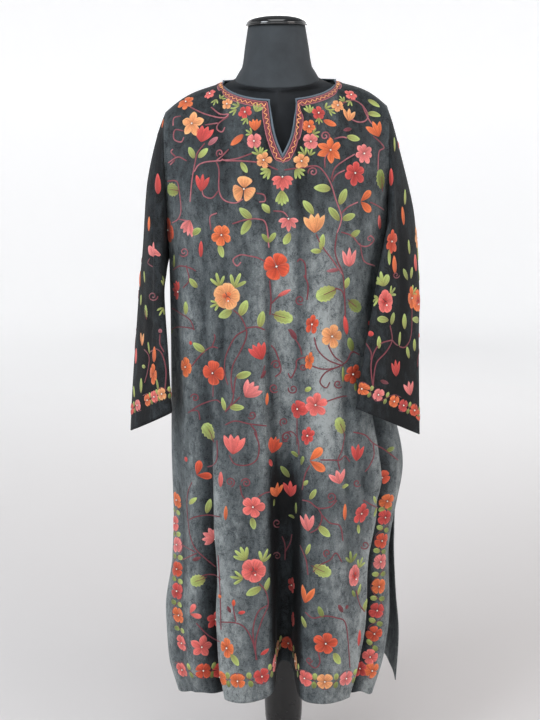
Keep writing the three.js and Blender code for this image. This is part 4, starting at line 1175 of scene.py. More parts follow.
@dataclass
class DressForm:
    """The limbless form: a torso and a neck under stretched jersey, and the neck's glossy cap."""

    torso_rows: list[tuple[float, ...]] = field(
        default_factory=lambda: [
            (730, 152, -78, 82, 2.2, 0),
            (755, 170, -90, 94, 2.2, 0),
            (840, 172, -96, 96, 2.2, 0),
            (930, 148, -92, 84, 2.1, 0),
            (1020, 124, -84, 74, 2.1, 0),
            (1120, 138, -98, 80, 2.1, 0),
            (1220, 153, -116, 88, 2.2, 0),
            (1300, 166, -106, 88, 2.0, 0),
            (1350, 178, -98, 82, 1.7, 0),
            (1385, 186, -90, 76, 1.45, 0),
            (1408, 186, -86, 72, 1.2, 1),
            (1424, 180.5, -82, 70, 1.05, 3),
            (1434, 166.5, -79, 69, 1.0, 5),
            (1441, 150.5, -77, 68, 1.0, 7),
            (1449, 125, -75, 67, 1.05, 10),
            (1454, 102, -74, 67, 1.3, 13),
            (1463, 80, -73, 68, 1.9, 16),
        ]
    )
    neck_rows: list[tuple[float, ...]] = field(
        default_factory=lambda: [
            (1463.3, 79, -72, 67, 2.0, 16),
            (1475, 72, -68, 66, 2.0, 12),
            (1487, 65, -65, 65, 2.0, 7),
            (1520, 59.5, -59.5, 59.5, 2.0, 3),
            (1558, 53, -53, 53, 2.0, 0),
        ]
    )
    tilt_reach: float = 70.0
    sides: int = 112
    cap_foot: float = 1558.3
    cap_radius: float = 58.0
    rim_height: float = 3.4
    dome_radius: float = 56.2
    dome_height: float = 16.5

    def loft(self, name: str, rows: list[tuple[float, ...]], steps: int, finer: bool) -> bpy.types.Object:
        """Loft a body through its rows of sections, with flat ends.

        Args:
            name: The object's name.
            rows: Height, half width, front, back, roundness and tilt of each section.
            steps: Rings for each stretch between two sections.
            finer: Whether each stretch is read smoothly.

        Returns:
            The object.
        """
        table = np.array(rows, float)
        heights = np.concatenate(
            [np.linspace(a, b, steps, endpoint=False) for a, b in zip(table[:-1, 0], table[1:, 0])]
            + [table[-1:, 0]]
        )
        if finer:
            read = read_table(table[:, 0], table[:, 1:], heights)
        else:
            read = np.stack([np.interp(heights, table[:, 0], table[:, i]) for i in range(1, 6)], axis=-1)
        angle = 2 * np.pi * np.arange(self.sides) / self.sides
        half, front, back, power, tilt = (read[:, i : i + 1] for i in range(5))
        sine, cosine = np.sin(angle)[None], np.cos(angle)[None]
        y = np.where(sine < 0, -front, back) * np.sign(sine) * np.abs(sine) ** (2 / power)
        x = half * np.sign(cosine) * np.abs(cosine) ** (2 / power)
        z = heights[:, None] + tilt * y / self.tilt_reach
        rings = np.stack([x, y, z], axis=-1) * MM
        ends = [mix(rings[0].mean(0), rings[0], 0.001), mix(rings[-1].mean(0), rings[-1], 0.001)]
        rings = np.concatenate([ends[0][None], rings, ends[1][None]])
        index = np.arange(rings.shape[0] * self.sides).reshape(rings.shape[0], self.sides)
        after = np.roll(index, -1, axis=1)
        quads = np.stack([index[:-1], after[:-1], after[1:], index[1:]], axis=-1).reshape(-1, 4)
        return quad_object(name, rings.reshape(-1, 3), quads)

    def cap_profile(self) -> list[tuple[float, float]]:
        """Draw the domed lid above its rim."""
        top = self.cap_foot + self.rim_height
        steps, fullness = 24, 0.8
        turns = [math.pi / 2 * i / steps for i in range(steps)]
        dome = [
            (self.dome_radius * math.cos(turn) ** fullness, top + self.dome_height * math.sin(turn))
            for turn in turns
        ]
        return [(self.dome_radius, self.cap_foot + 0.4), *dome, (0.5, top + self.dome_height)]

    def rim_profile(self) -> list[tuple[float, float]]:
        """Draw the thin rounded rim that the lid stands in."""
        middle, half = self.cap_foot + self.rim_height / 2, self.rim_height / 2
        steps = 10
        turns = [-math.pi / 2 + math.pi * i / steps for i in range(steps + 1)]
        edge = self.cap_radius - half
        return [(edge + half * math.cos(t), middle + half * math.sin(t)) for t in turns]

    def build(self, finishes: Finishes) -> None:
        """Build the form's pieces."""
        torso = self.loft("torso_cover", self.torso_rows, 6, True)
        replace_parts(dress(torso, "form_cover", finishes.jersey), "form_torso")
        neck = self.loft("neck_cover", self.neck_rows, 8, True)
        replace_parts(dress(neck, "form_cover", finishes.neck_jersey), "form_neck")
        lid = turned("cap_lid", closed(self.cap_profile()), 96)
        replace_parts(dress(lid, "cap", finishes.cap), "neck_cap")
        rim = turned("cap_rim", closed(self.rim_profile()), 96)
        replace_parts(dress(rim, "cap", finishes.cap), "neck_cap")


@dataclass
class Stand:
    """The pole, the turned bulb over the base and the weighted base."""

    pole: tuple[tuple[float, float], ...] = ((15.4, 300.3), (16, 300.9), (16, 729.1), (15.4, 729.7))
    bulb: tuple[tuple[float, float], ...] = (
        (27, 46.3),
        (29, 62),
        (34, 78),
        (38, 97),
        (40.5, 122),
        (41, 147),
        (40, 172),
        (38, 197),
        (34, 230),
        (29, 265),
        (25, 290),
        (20, 300),
    )
    base_radius: float = 138.0
    base_edge: float = 1.5
    base_lip: float = 5.0
    base_dome: float = 38.0
    hub_radius: float = 32.0
    hub_top: float = 46.0

    def base_profile(self) -> list[tuple[float, float]]:
        """Draw the base from its flat underside up to the hub."""
        outer, edge, steps = self.base_radius, self.base_edge, 24
        lower = [(outer - edge, 0.0), (outer - edge * 0.3, edge * 0.3), (outer, edge)]
        lower.append((outer, self.base_lip - edge))
        upper = []
        for i in range(steps + 1):
            part = i / steps
            rise = self.base_dome * math.sin(math.pi * part / 2) ** 1.15
            upper.append((mix(outer - edge, self.hub_radius, part), self.base_lip + rise))
        return [*lower, *upper, (self.hub_radius - 1, self.hub_top - 1), (self.hub_radius - 2, self.hub_top)]

    def build(self, finishes: Finishes) -> None:
        """Build the stand's pieces."""
        pole = turned("pole_tube", closed(self.pole), 64)
        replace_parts(dress(pole, "stand_metal", finishes.paint), "stand_pole")
        bulb = turned("turned_bulb", closed(rounded(self.bulb, 6)), 80)
        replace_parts(dress(bulb, "turned_wood", finishes.lacquer), "stand_bulb")
        base = turned("weighted_base", closed(self.base_profile()), 128)
        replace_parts(dress(base, "stand_metal", finishes.paint), "stand_base")


FRONT_CREASES = [
    Crease(((224, 235), (222, 300), (221, 370), (219, 450)), 4.5, 5.0, 0.3),
    Crease(((266, 230), (268, 290), (269, 360), (268, 440)), 5.0, 3.2, -0.3),
    Crease(((345, 240), (344, 330), (346, 400), (348, 480), (350, 560), (352, 660)), 4.5, 5.0, -0.3),
    Crease(((199, 150), (200, 205), (202, 260), (203, 330), (200, 400)), 4.5, 3.6),
    Crease(((247, 425), (249, 500), (247, 580), (245, 660)), 6.0, 3.0),
    Crease(((235, 290), (235, 380), (233, 470), (232, 560)), 6.0, -2.4),
    Crease(((211, 230), (211, 300), (210, 400), (206, 500)), 5.0, -2.6),
    Crease(((292, 190), (292, 280), (291, 380), (288, 440)), 8.0, -3.2),
    Crease(((325, 210), (325, 320), (326, 420), (325, 540), (322, 640)), 8.0, -3.0),
    Crease(((306, 300), (305, 350), (307, 400), (304, 450)), 5.0, 1.8),
    Crease(((243, 215), (246, 260), (247, 330)), 6.0, 2.4),
    Crease(((186, 420), (185, 500), (183, 580), (186, 650)), 5.0, 3.4),
    Crease(((203, 520), (203, 600), (201, 670)), 5.0, -2.4),
    Crease(((362, 470), (364, 540), (362, 620), (360, 680)), 4.0, 3.4),
    Crease(((358, 462), (370, 492), (388, 512)), 5.0, 4.0),
    Crease(((372, 455), (380, 480), (392, 496)), 4.0, -2.4),
    Crease(((303, 638), (320, 652), (345, 656)), 4.5, 3.2),
    Crease(((300, 660), (325, 669), (347, 665)), 4.5, -2.6),
    Crease(((228, 655), (246, 664), (262, 655)), 4.5, 2.2),
    Crease(((190, 447), (198, 450), (206, 456)), 2.2, 1.8),
    Crease(((343, 468), (346, 484), (351, 502)), 3.0, 2.2),
    Crease(((176, 610), (184, 622), (196, 626)), 4.0, 2.2),
    Crease(((178, 200), (186, 230), (190, 270)), 6.0, 2.8),
    Crease(((365, 190), (362, 230), (364, 280)), 6.0, 3.0),
    Crease(((374, 200), (371, 250), (369, 300)), 5.0, -2.2),
]
# Columns: middle and half width in pixels of the frame, lift in mm
HEM_LIFTS = ((201.0, 12.0, 13.0), (361.0, 7.0, 9.0))
BACK_CREASES = [
    Crease(((226, 235), (224, 300), (223, 370), (221, 450)), 5.0, 4.5, 0.3),
    Crease(((262, 200), (264, 260), (266, 340), (264, 440)), 5.5, 4.0, -0.3),
    Crease(((338, 230), (340, 330), (342, 400), (345, 480), (347, 560), (349, 660)), 5.0, 4.5, -0.3),
    Crease(((201, 170), (202, 230), (204, 330), (202, 400)), 5.0, 3.2),
    Crease(((294, 190), (293, 280), (292, 380), (290, 440)), 7.0, -2.6),
    Crease(((320, 220), (322, 320), (324, 420), (322, 540), (320, 640)), 8.0, -3.0),
    Crease(((239, 290), (238, 380), (236, 470), (236, 560)), 6.0, -2.4),
    Crease(((300, 648), (318, 658), (342, 654)), 4.5, 2.8),
    Crease(((186, 440), (186, 520), (184, 600)), 5.0, 3.0),
    Crease(((208, 500), (220, 520), (236, 526)), 4.0, 2.2),
]
SLEEVE_CREASES = [
    Crease(((157, 140), (153, 200), (151, 260), (150, 330), (147, 400)), 3.2, 4.0, 0.3),
    Crease(((163, 150), (162, 220), (160, 290), (159, 380)), 3.0, -2.4),
    Crease(((144, 230), (142, 300), (140, 380)), 3.0, 2.4),
    Crease(((392, 130), (398, 200), (402, 260), (401, 330), (403, 400)), 3.2, 4.0, -0.3),
    Crease(((386, 170), (388, 240), (389, 320), (386, 400)), 4.5, -2.6),
    Crease(((410, 220), (413, 300), (413, 380)), 3.0, 2.4),
    Crease(((368, 330), (376, 350), (388, 358)), 3.5, 2.4),
    Crease(((146, 318), (152, 326), (163, 328)), 3.0, 2.0),
    Crease(((372, 372), (386, 380), (402, 378)), 3.0, 2.0),
]


@dataclass
class Gown:
    """The pheran's sewn pieces: two panels, two sleeves and the bound neck edge."""

    finer: int = 5
    yoke_rows: int = 55
    skirt_rows: int = 170
    sleeve_rings: int = 120
    binding_width: float = 3.6
    binding_thickness: float = 3.0
    binding_gap: float = 0.5
    front: Cloth = None
    back: Cloth = None
    sleeve_left: Cloth = None
    sleeve_right: Cloth = None

    def lay_out(self) -> None:
        """Form every cloth's outer face."""
        front = FRONT.face(self.finer, self.yoke_rows, self.skirt_rows)
        back = BACK.face(self.finer, self.yoke_rows, self.skirt_rows)
        self.front = Cloth(front * MM, FRONT.facing, False)
        self.back = Cloth(back * MM, BACK.facing, False)
        for side, rings, column in ((-1, LEFT_RINGS, 0), (1, RIGHT_RINGS, -1)):
            loop = np.vstack([front[: self.yoke_rows + 1, column], back[1 : self.yoke_rows, column][::-1]])
            face = sleeve_face(rings, loop, side, self.sleeve_rings)
            cloth = Cloth(face * MM, side, True)
            if side < 0:
                self.sleeve_left = cloth
            else:
                self.sleeve_right = cloth

    def room(self, cloth: Cloth, seam: float) -> np.ndarray:
        """Tell how much of a crease each point of a cloth takes, none at its seams."""
        rows = np.arange(cloth.rows)[:, None] / seam
        fade = smoothstep(rows, 0, 1) * np.ones((1, cloth.columns))
        if not cloth.around:
            columns = np.minimum(np.arange(cloth.columns), cloth.columns - 1 - np.arange(cloth.columns))
            fade = fade * smoothstep(columns[None] / seam, 0, 1)
        return fade

    def raise_hem(self) -> None:
        """Pull the front hem up a little where the panel beside the left ridge hangs level."""
        places = PHOTO.places(self.front.points)
        near_hem = smoothstep(np.arange(self.front.rows)[:, None], self.front.rows - 26, self.front.rows - 1)
        for middle, width, lift in HEM_LIFTS:
            amount = lift * np.exp(-(((places[..., 0] - middle) / width) ** 2)) * near_hem
            self.front.points[..., 2] += amount * MM
        self.front.normals = self.front.directions()

    def press(self) -> None:
        """Press the creases into every cloth."""
        self.raise_hem()
        self.front.crease(FRONT_CREASES, self.room(self.front, 6))
        self.back.crease(BACK_CREASES, self.room(self.back, 6), mirrored=True)
        for sleeve in (self.sleeve_left, self.sleeve_right):
            sleeve.crease(SLEEVE_CREASES, self.room(sleeve, 8))

    def binding(self) -> bpy.types.Object:
        """Make the binding that runs round the neck edge and down the notch."""
        edges = []
        for form, cloth, backwards in ((FRONT, self.front, False), (BACK, self.back, True)):
            shares, turns = form.shares(self.finer), form.corners()
            inside = (shares >= turns[1] - 1e-9) & (shares <= turns[-2] + 1e-9)
            line = np.stack([cloth.points[0][inside], cloth.normals[0][inside]], axis=1)
            edges.append(line[::-1] if backwards else line)
        line = np.vstack([edges[0], edges[1]])
        point, normal = line[:, 0], line[:, 1]
        away = point - np.roll(point, 1, axis=0)
        arriving = away / np.maximum(np.linalg.norm(away, axis=1, keepdims=True), 1e-9)
        leaving = np.roll(arriving, -1, axis=0)
        up = -np.cross(arriving + leaving, normal)
        up /= np.linalg.norm(up, axis=1, keepdims=True)
        turn = np.sqrt(np.clip((1 + (arriving * leaving).sum(1)) / 2, 0.0625, 1))[:, None]
        middle = self.binding_gap + self.binding_width / 2
        rings = []
        steps = 12
        for i in range(steps):
            angle = 2 * math.pi * i / steps
            rise = (middle + self.binding_width / 2 * math.sin(angle)) * MM / turn
            out = (self.binding_thickness / 2 * math.cos(angle) - WALL / 2) * MM
            rings.append(point + up * rise + normal * out)
        rings = np.stack(rings, axis=1)
        index = np.arange(rings.shape[0] * steps).reshape(rings.shape[0], steps)
        after, beside = np.roll(index, -1, axis=0), np.roll(index, -1, axis=1)
        quads = np.stack([index, after, np.roll(after, -1, axis=1), beside], axis=-1).reshape(-1, 4)
        return quad_object("neck_bias_binding", rings.reshape(-1, 3), quads)

    def build(self, finishes: Finishes) -> None:
        """Build the gown's pieces."""
        self.lay_out()
        self.press()
        velvet, sleeve_velvet = finishes.velvet, finishes.sleeve_velvet
        # Columns: piece, cloth, finish, node, flat size in m along the cloth, area in m2
        pieces = (
            ("velvet_front", self.front, velvet, "front_panel", (0.79, 1.27), 0.75),
            ("velvet_back", self.back, velvet, "back_panel", (0.81, 1.29), 0.76),
            ("velvet_sleeve_left", self.sleeve_left, sleeve_velvet, "sleeve_left", (0.50, 0.62), 0.155),
            ("velvet_sleeve_right", self.sleeve_right, sleeve_velvet, "sleeve_right", (0.50, 0.63), 0.16),
        )
        for name, cloth, finish, node, flat, area in pieces:
            shell = cloth.shell(name, WALL)
            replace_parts(dress(shell, "velvet", finish, finishes.reverse), node)
        tape = self.binding()
        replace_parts(dress(tape, "binding", finishes.tape), "neck_binding")



class Thread(Enum):
    """The embroidery's thread colours, as sRGB hex."""

    ORANGE = 0xE8743C
    FLAME = 0xD4502E
    PEACH = 0xF2A86C
    CORAL = 0xEA7068
    PINK = 0xEC8480
    RED = 0xCE4640
    GREEN = 0xA8BC66
    OLIVE = 0x7E9146
    MAROON = 0x74303A
    ROSE = 0xA8636A


class Kind(Enum):
    """What a motif is."""

    FLOWER = "open flower with round petals"
    STAR = "open flower with pointed petals"
    ROSE = "large double flower"
    TULIP = "flower seen from the side, its petals in a fan"
    LOTUS = "wide fan of many pointed petals with a bead"
    PAIR = "two petals on one foot"
    BUD = "single petal"
    LEAF = "plain leaf"
    TOOTHED = "leaf with a toothed edge and a dark vein"
    SPRAY = "three or four narrow leaves in a fan"
    CALYX = "ragged green cup"
    BERRY = "small round knot"


class Outline(Enum):
    """How a petal's width runs from its foot to its tip, as the powers of one sine."""

    ROUND = (1.55, 0.62)
    POINTED = (1.1, 0.82)
    LEAF = (0.95, 0.66)
    OVAL = (1.0, 0.5)
    FINGER = (1.25, 0.45)


def rows_of(table: str) -> list[list[str]]:
    """Split a text table into its rows, which end at a semicolon or a line's end, and their cells."""
    return [row.split() for row in table.replace("\n", ";").split(";") if row.strip()]


@dataclass(frozen=True)
class Motif:
    """One motif of the layout: its place and radius in pixels of the frame, and the way it points.

    angle is in degrees clockwise from straight up, squeeze its width across that, petals their number.
    """

    kind: Kind
    x: float
    y: float
    size: float
    angle: float
    thread: Thread
    petals: int = 1
    squeeze: float = 1.0

    @classmethod
    def read(cls, table: str) -> list["Motif"]:
        """Read a text table of motifs, whose columns are the fields in their order."""
        motifs = []
        for kind, x, y, size, angle, thread, *rest in rows_of(table):
            place = float(x), float(y), float(size), float(angle)
            counts = [int(rest[0])] if rest else []
            motifs.append(cls(Kind[kind], *place, Thread[thread], *counts, *map(float, rest[1:])))
        return motifs


def blooms(table: str) -> list[tuple[float, float, Thread]]:
    """Read a text table of a border's flowers, with the columns x, y and thread."""
    return [(float(x), float(y), Thread[thread]) for x, y, thread in rows_of(table)]


@dataclass
class Anchor:
    """A place on a cloth with the turn of local millimetres into its columns and rows.

    Where the cloth's rows crowd together, ways holds the two directions of local millimetres instead.
    """

    u: float
    v: float
    turn: np.ndarray
    point: np.ndarray = None
    ways: np.ndarray = None


class Needlework:
    """Raised chain stitch on one cloth, gathered into a single mesh.

    Every stitch area is a grid in local millimetres. Its points go to the cloth's columns and rows, so
    the thread follows each fold, and stand off the cloth along its outward direction.
    """

    ROW_MM = 1.9
    CORD_STEP_MM = 2.4

    def __init__(self, cloth: Cloth, seed: int) -> None:
        """Start with no stitches."""
        self.cloth = cloth
        self.dice = random.Random(seed)
        self.places: list[np.ndarray] = []
        self.heights: list[np.ndarray] = []
        self.tints: list[np.ndarray] = []
        self.runs: list[np.ndarray] = []
        self.quads: list[np.ndarray] = []
        self.beads: list[tuple[float, float, float]] = []
        self.count = 0
        self.search: BVHTree | None = None

    def anchor(self, u: float, v: float, right: np.ndarray, up: np.ndarray) -> Anchor:
        """Set up local millimetres at a place on the cloth.

        Args:
            u: The cloth's column.
            v: The cloth's row.
            right: The direction that local right follows.
            up: The direction that local up follows.

        Returns:
            The anchor.
        """
        across, down = self.cloth.spans(u, v)
        frame_ = np.stack([across, down], axis=1)
        normal = np.cross(across, down)
        normal /= np.linalg.norm(normal)
        level = right - normal * (right @ normal)
        level /= np.linalg.norm(level)
        rise = up - normal * (up @ normal) - level * (up @ level)
        rise /= np.linalg.norm(rise)
        ways = np.stack([level, rise], axis=1)
        turn = np.linalg.lstsq(frame_, ways * MM, rcond=None)[0]
        if self.search is None:
            return Anchor(u, v, turn)
        return Anchor(u, v, turn, self.cloth.read(self.cloth.points, np.array(u), np.array(v)), ways)

    def place(self, at: Anchor, local: np.ndarray) -> np.ndarray:
        """Turn local millimetres round an anchor into columns and rows."""
        if at.ways is None:
            return np.array([at.u, at.v]) + local @ at.turn.T
        places = []
        for across, rise in local.reshape(-1, 2):
            near, _, number, _ = self.search.find_nearest(Vector(at.point + at.ways @ (across, rise) * MM))
            places.append(self.cloth.quad_place(number, np.array(near)))
        return np.array(places).reshape(local.shape)

    def lay(self, place: np.ndarray, height: np.ndarray, tint: np.ndarray, run: np.ndarray) -> None:
        """Lay down one grid of stitches.

        Args:
            place: Columns and rows of the cloth for each grid point.
            height: Height over the cloth in mm.
            tint: Linear colour at each grid point.
            run: Length along the stitch rows and across them, in mm.
        """
        rows, columns = height.shape
        index = np.arange(rows * columns).reshape(rows, columns) + self.count
        quads = np.stack([index[:-1, :-1], index[:-1, 1:], index[1:, 1:], index[1:, :-1]], axis=-1)
        self.quads.append(quads.reshape(-1, 4))
        self.places.append(place.reshape(-1, 2))
        self.heights.append(height.ravel())
        self.tints.append(np.broadcast_to(tint, (rows, columns, 3)).reshape(-1, 3))
        self.runs.append(run.reshape(-1, 2))
        self.count += rows * columns

    def tint(self, thread: Thread, lighter: float = 1.0) -> np.ndarray:
        """Give a thread's linear colour, lightened or darkened."""
        return np.clip(np.array(linear(thread.value)[:3]) * lighter, 0, 1)

    def petal(
        self,
        at: Anchor,
        angle: float,
        foot: float,
        length: float,
        width: float,
        outline: Outline,
        thread: Thread,
        squeeze: tuple[float, float] = (1.0, 0.0),
        height: float = 0.9,
        teeth: int = 0,
    ) -> None:
        """Fill one petal or leaf with rows of chain stitch.

        Args:
            at: Where the flower's middle is.
            angle: The petal's direction, in degrees clockwise from local up.
            foot: Distance from the middle to the petal's foot, in mm.
            length: The petal's length.
            width: Its greatest width.
            outline: How its width runs.
            thread: Its colour.
            squeeze: How far the whole flower is narrowed, and across which angle.
            height: The relief's height.
            teeth: How many teeth its edges have.
        """
        rows_across = max(2, round(width / self.ROW_MM))
        across = np.linspace(-1, 1, 2 * rows_across + 1)
        steps = max(5, round(length / 2.6))
        if teeth:
            steps = max(steps, 3 * teeth)
        t = np.linspace(0, 1, steps + 1)
        place_power, round_power = outline.value
        shape = np.sin(np.pi * np.clip(t, 0.001, 0.999) ** place_power) ** round_power
        if teeth:
            shape = shape * (0.84 + 0.28 * np.mod(-t * teeth, 1.0))
        side = across[None, :] * (shape[:, None] * width / 2)
        along = foot + length * t[:, None] + np.zeros_like(side)
        turn = math.radians(angle)
        right = along * math.sin(turn) + side * math.cos(turn)
        up = along * math.cos(turn) - side * math.sin(turn)
        local = np.stack([right, up], axis=-1)
        narrow, axis = squeeze
        if narrow != 1.0:
            lean = math.radians(axis)
            way = np.array([math.cos(lean), -math.sin(lean)])
            local = local + ((local @ way) * (narrow - 1))[..., None] * way
        dome = (1 - np.abs(across[None, :]) ** 2.4) * np.sin(np.pi * np.clip(t, 0.06, 0.94))[:, None] ** 0.45
        ridge = np.where(np.arange(len(across)) % 2 == 1, 0.5, 0.0)[None, :]
        relief = height * dome + ridge * (0.35 + 0.65 * dome)
        relief[:, 0] = relief[:, -1] = relief[0] = relief[-1] = -0.25
        # The thread runs from a darker foot to a lighter tip; the rows' crowns carry a painted highlight, the
        # grooves between them painted shade, and the petal's edges the painted shade of the gaps between
        # petals
        light = mix(0.6, 1.14, t[:, None] ** 0.7) * np.ones_like(side)
        row_tone = np.array([1 + self.dice.uniform(-0.2, 0.16) for _ in range(rows_across)])
        light = light * row_tone[np.minimum(np.arange(len(across)) // 2, rows_across - 1)][None, :]
        light = light * np.where(np.arange(len(across)) % 2 == 1, 1.12, 0.8)[None, :]
        light[:, 0] = light[:, -1] = light[0] = light[-1] = 0.42
        tint = self.tint(thread, self.dice.uniform(0.86, 1.06)) * light[..., None]
        tint = tint * mix(np.array([1.0, 0.72, 0.72]), np.ones(3), t[:, None, None] ** 0.6)
        outer = smoothstep(np.maximum(np.abs(across)[None, :], 1.25 * t[:, None] - 0.25), 0.62, 0.9)
        paler = 0.1 if thread in (Thread.MAROON, Thread.ROSE) else 0.16
        tint = tint + (outer * paler)[..., None] * tint**0.5
        self.lay(self.place(at, local), relief, np.clip(tint, 0, 1), np.stack([along, side], axis=-1))

    def cord(
        self,
        line: np.ndarray,
        thread: Thread,
        width: float = 2.0,
        height: float = 0.75,
        other: Thread | None = None,
    ) -> None:
        """Work one row of chain stitch along a line.

        Args:
            line: Columns and rows of the cloth.
            thread: Its colour at the start.
            width: The row's width in mm.
            height: Its height.
            other: Its colour at the end, if it changes.
        """
        if len(line) < 2:
            return
        points = self.cloth.read(self.cloth.points, line[:, 0], line[:, 1])
        step = np.linalg.norm(np.diff(points, axis=0), axis=1) / MM
        run = np.concatenate([[0], np.cumsum(step)])
        if run[-1] < 1.0:
            return
        count = max(2, int(run[-1] / self.CORD_STEP_MM))
        at = np.linspace(0, run[-1], count + 1)
        u, v = np.interp(at, run, line[:, 0]), np.interp(at, run, line[:, 1])
        p = self.cloth.read(self.cloth.points, u, v)
        n = self.cloth.read(self.cloth.normals, u, v)
        ahead = np.gradient(p, axis=0)
        sideways = np.cross(n, ahead)
        sideways /= np.maximum(np.linalg.norm(sideways, axis=1, keepdims=True), 1e-9)
        read, grid = self.cloth.read, self.cloth.points
        across_u = read(grid, u + 0.5, v) - read(grid, u - 0.5, v)
        down_v = read(grid, u, v + 0.5) - read(grid, u, v - 0.5)
        aa, ad, dd = (across_u**2).sum(1), (across_u * down_v).sum(1), (down_v**2).sum(1)
        sa, sd = (sideways * across_u).sum(1), (sideways * down_v).sum(1)
        det = np.maximum(aa * dd - ad * ad, 1e-14)
        du, dv = (sa * dd - sd * ad) / det, (sd * aa - sa * ad) / det
        section = np.array([-1.0, -0.6, 0.0, 0.6, 1.0])
        taper = np.minimum(1, 0.45 + np.minimum(at, run[-1] - at) / 3.0)
        reach = section[None, :] * (taper[:, None] * width / 2 * MM)
        place = np.stack([u[:, None] + du[:, None] * reach, v[:, None] + dv[:, None] * reach], axis=-1)
        relief = height * taper[:, None] * np.array([-0.3, 0.75, 1.0, 0.75, -0.3])[None, :]
        part = (at / run[-1])[:, None, None]
        tone = self.dice.uniform(0.9, 1.12)
        tint = mix(self.tint(thread, tone), self.tint(other or thread, tone), part)
        # Painted light: the row turns lighter and darker by turns along its links, and its crown is lighter
        # and its sides darker
        link = (1 + 0.1 * np.sin(at * 2.1))[:, None, None]
        tint = np.clip(tint * link * np.array([0.8, 1, 1.12, 1, 0.8])[None, :, None], 0, 1)
        self.lay(place, relief, tint, np.stack([at[:, None] + 0 * reach, reach / MM], axis=-1))

    def bead(self, at: Anchor, across: float = 0.0, rise: float = 0.0, height: float = 1.0) -> None:
        """Sew on one bead, across and up from an anchor in mm."""
        place = self.place(at, np.array([[across, rise]]))[0]
        self.beads.append((float(place[0]), float(place[1]), height))

    def motif(
        self, at: Anchor, kind: Kind, size: float, angle: float, thread: Thread, petals: int, squeeze: float
    ) -> None:
        """Work one motif.

        Args:
            at: Where its middle is.
            kind: What it is.
            size: Its radius in mm.
            angle: The way it points, in degrees clockwise from local up.
            thread: Its main colour.
            petals: How many petals it has.
            squeeze: How far it is narrowed across that way.
        """
        narrow = (squeeze, angle)
        if kind in (Kind.FLOWER, Kind.STAR):
            outline = Outline.ROUND if kind is Kind.FLOWER else Outline.POINTED
            fullness = (0.76 if petals < 5 else 0.68) if kind is Kind.FLOWER else 0.58
            width = 2 * size * math.sin(math.pi / petals) * fullness
            for i in range(petals):
                lean = angle + 360 * i / petals + self.dice.uniform(-5, 5)
                reach = size * self.dice.uniform(0.9, 1.04)
                self.petal(at, lean, size * 0.04, reach, min(width, size * 1.28), outline, thread, narrow)
            if squeeze > 0.6:
                self.bead(at)
        elif kind is Kind.ROSE:
            inner = {Thread.PEACH: Thread.ORANGE, Thread.CORAL: Thread.RED}.get(thread, Thread.RED)
            # Columns: petals, first angle, foot, length and width in radii, thread and height
            for count, lean, foot, long, wide, floss, rise in (
                (5, 0, 0.12, 0.86, 0.98, thread, 1.0),
                (3, 30, 0.0, 0.42, 0.4, inner, 1.9),
            ):
                for i in range(count):
                    way = angle + lean + 360 // count * i
                    sizes = size * foot, size * long, size * wide
                    self.petal(at, way, *sizes, Outline.ROUND, floss, narrow, rise)
            self.bead(at, size * 0.12, -size * 0.3, 2.0)
        elif kind is Kind.TULIP:
            spread = 58.0 if petals > 2 else 40.0
            order = sorted(range(petals), key=lambda i: -abs(i - (petals - 1) / 2))
            for i in order:
                lean = spread * (i / (petals - 1) - 0.5) if petals > 1 else 0.0
                foot = self.shifted(at, angle, -size * 0.85)
                rise = 0.9 + 0.25 * (1 - abs(i - (petals - 1) / 2))
                sizes = 0.0, size * 1.8, size * 0.6
                self.petal(foot, angle + lean, *sizes, Outline.POINTED, thread, narrow, rise)
        elif kind is Kind.LOTUS:
            order = sorted(range(petals), key=lambda i: -abs(i - (petals - 1) / 2))
            foot = self.shifted(at, angle, -size * 0.6)
            for i in order:
                lean = 150.0 * (i / (petals - 1) - 0.5)
                reach = size * (1.6 - 0.35 * abs(i / (petals - 1) - 0.5) * 2)
                sizes = size * 0.1, reach, size * 0.62
                self.petal(foot, angle + lean, *sizes, Outline.POINTED, thread, narrow)
            self.bead(foot, 0.0, 0.0, 1.2)
        elif kind is Kind.PAIR:
            foot = self.shifted(at, angle, -size * 0.55)
            for lean in (-42.0, 38.0):
                self.petal(foot, angle + lean, 0.0, size * 1.5, size * 0.72, Outline.ROUND, thread, narrow)
        elif kind is Kind.BUD:
            foot = self.shifted(at, angle, -size)
            self.petal(foot, angle, 0.0, size * 2, size * 0.95 * squeeze, Outline.LEAF, thread)
        elif kind is Kind.LEAF:
            foot = self.shifted(at, angle, -size)
            self.petal(foot, angle, 0.0, size * 2, size * 0.84 * squeeze, Outline.LEAF, thread, height=0.7)
        elif kind is Kind.TOOTHED:
            foot = self.shifted(at, angle, -size)
            sizes = 0.0, size * 2.05, size * 1.45 * squeeze
            self.petal(foot, angle, *sizes, Outline.OVAL, thread, height=0.7, teeth=5)
            vein = self.line(foot, [(0, -size * 0.25), (0.3, size * 0.6), (0, size * 1.35)], angle)
            self.cord(vein, Thread.MAROON, 1.8, 1.7)
        elif kind in (Kind.SPRAY, Kind.CALYX):
            foot = self.shifted(at, angle, -size * 0.8)
            spread = 76.0 if kind is Kind.SPRAY else 56.0
            for i in range(petals):
                lean = spread * (i / (petals - 1) - 0.5)
                reach = size * (1.75 - 0.5 * abs(i / (petals - 1) - 0.5))
                sizes = 0.0, reach, max(2.8, size * 0.42)
                self.petal(foot, angle + lean, *sizes, Outline.FINGER, thread, height=0.6)
        elif kind is Kind.BERRY:
            foot = self.shifted(at, angle, -size)
            self.petal(foot, angle, 0.0, size * 2, size * 1.8, Outline.OVAL, thread, height=0.9)

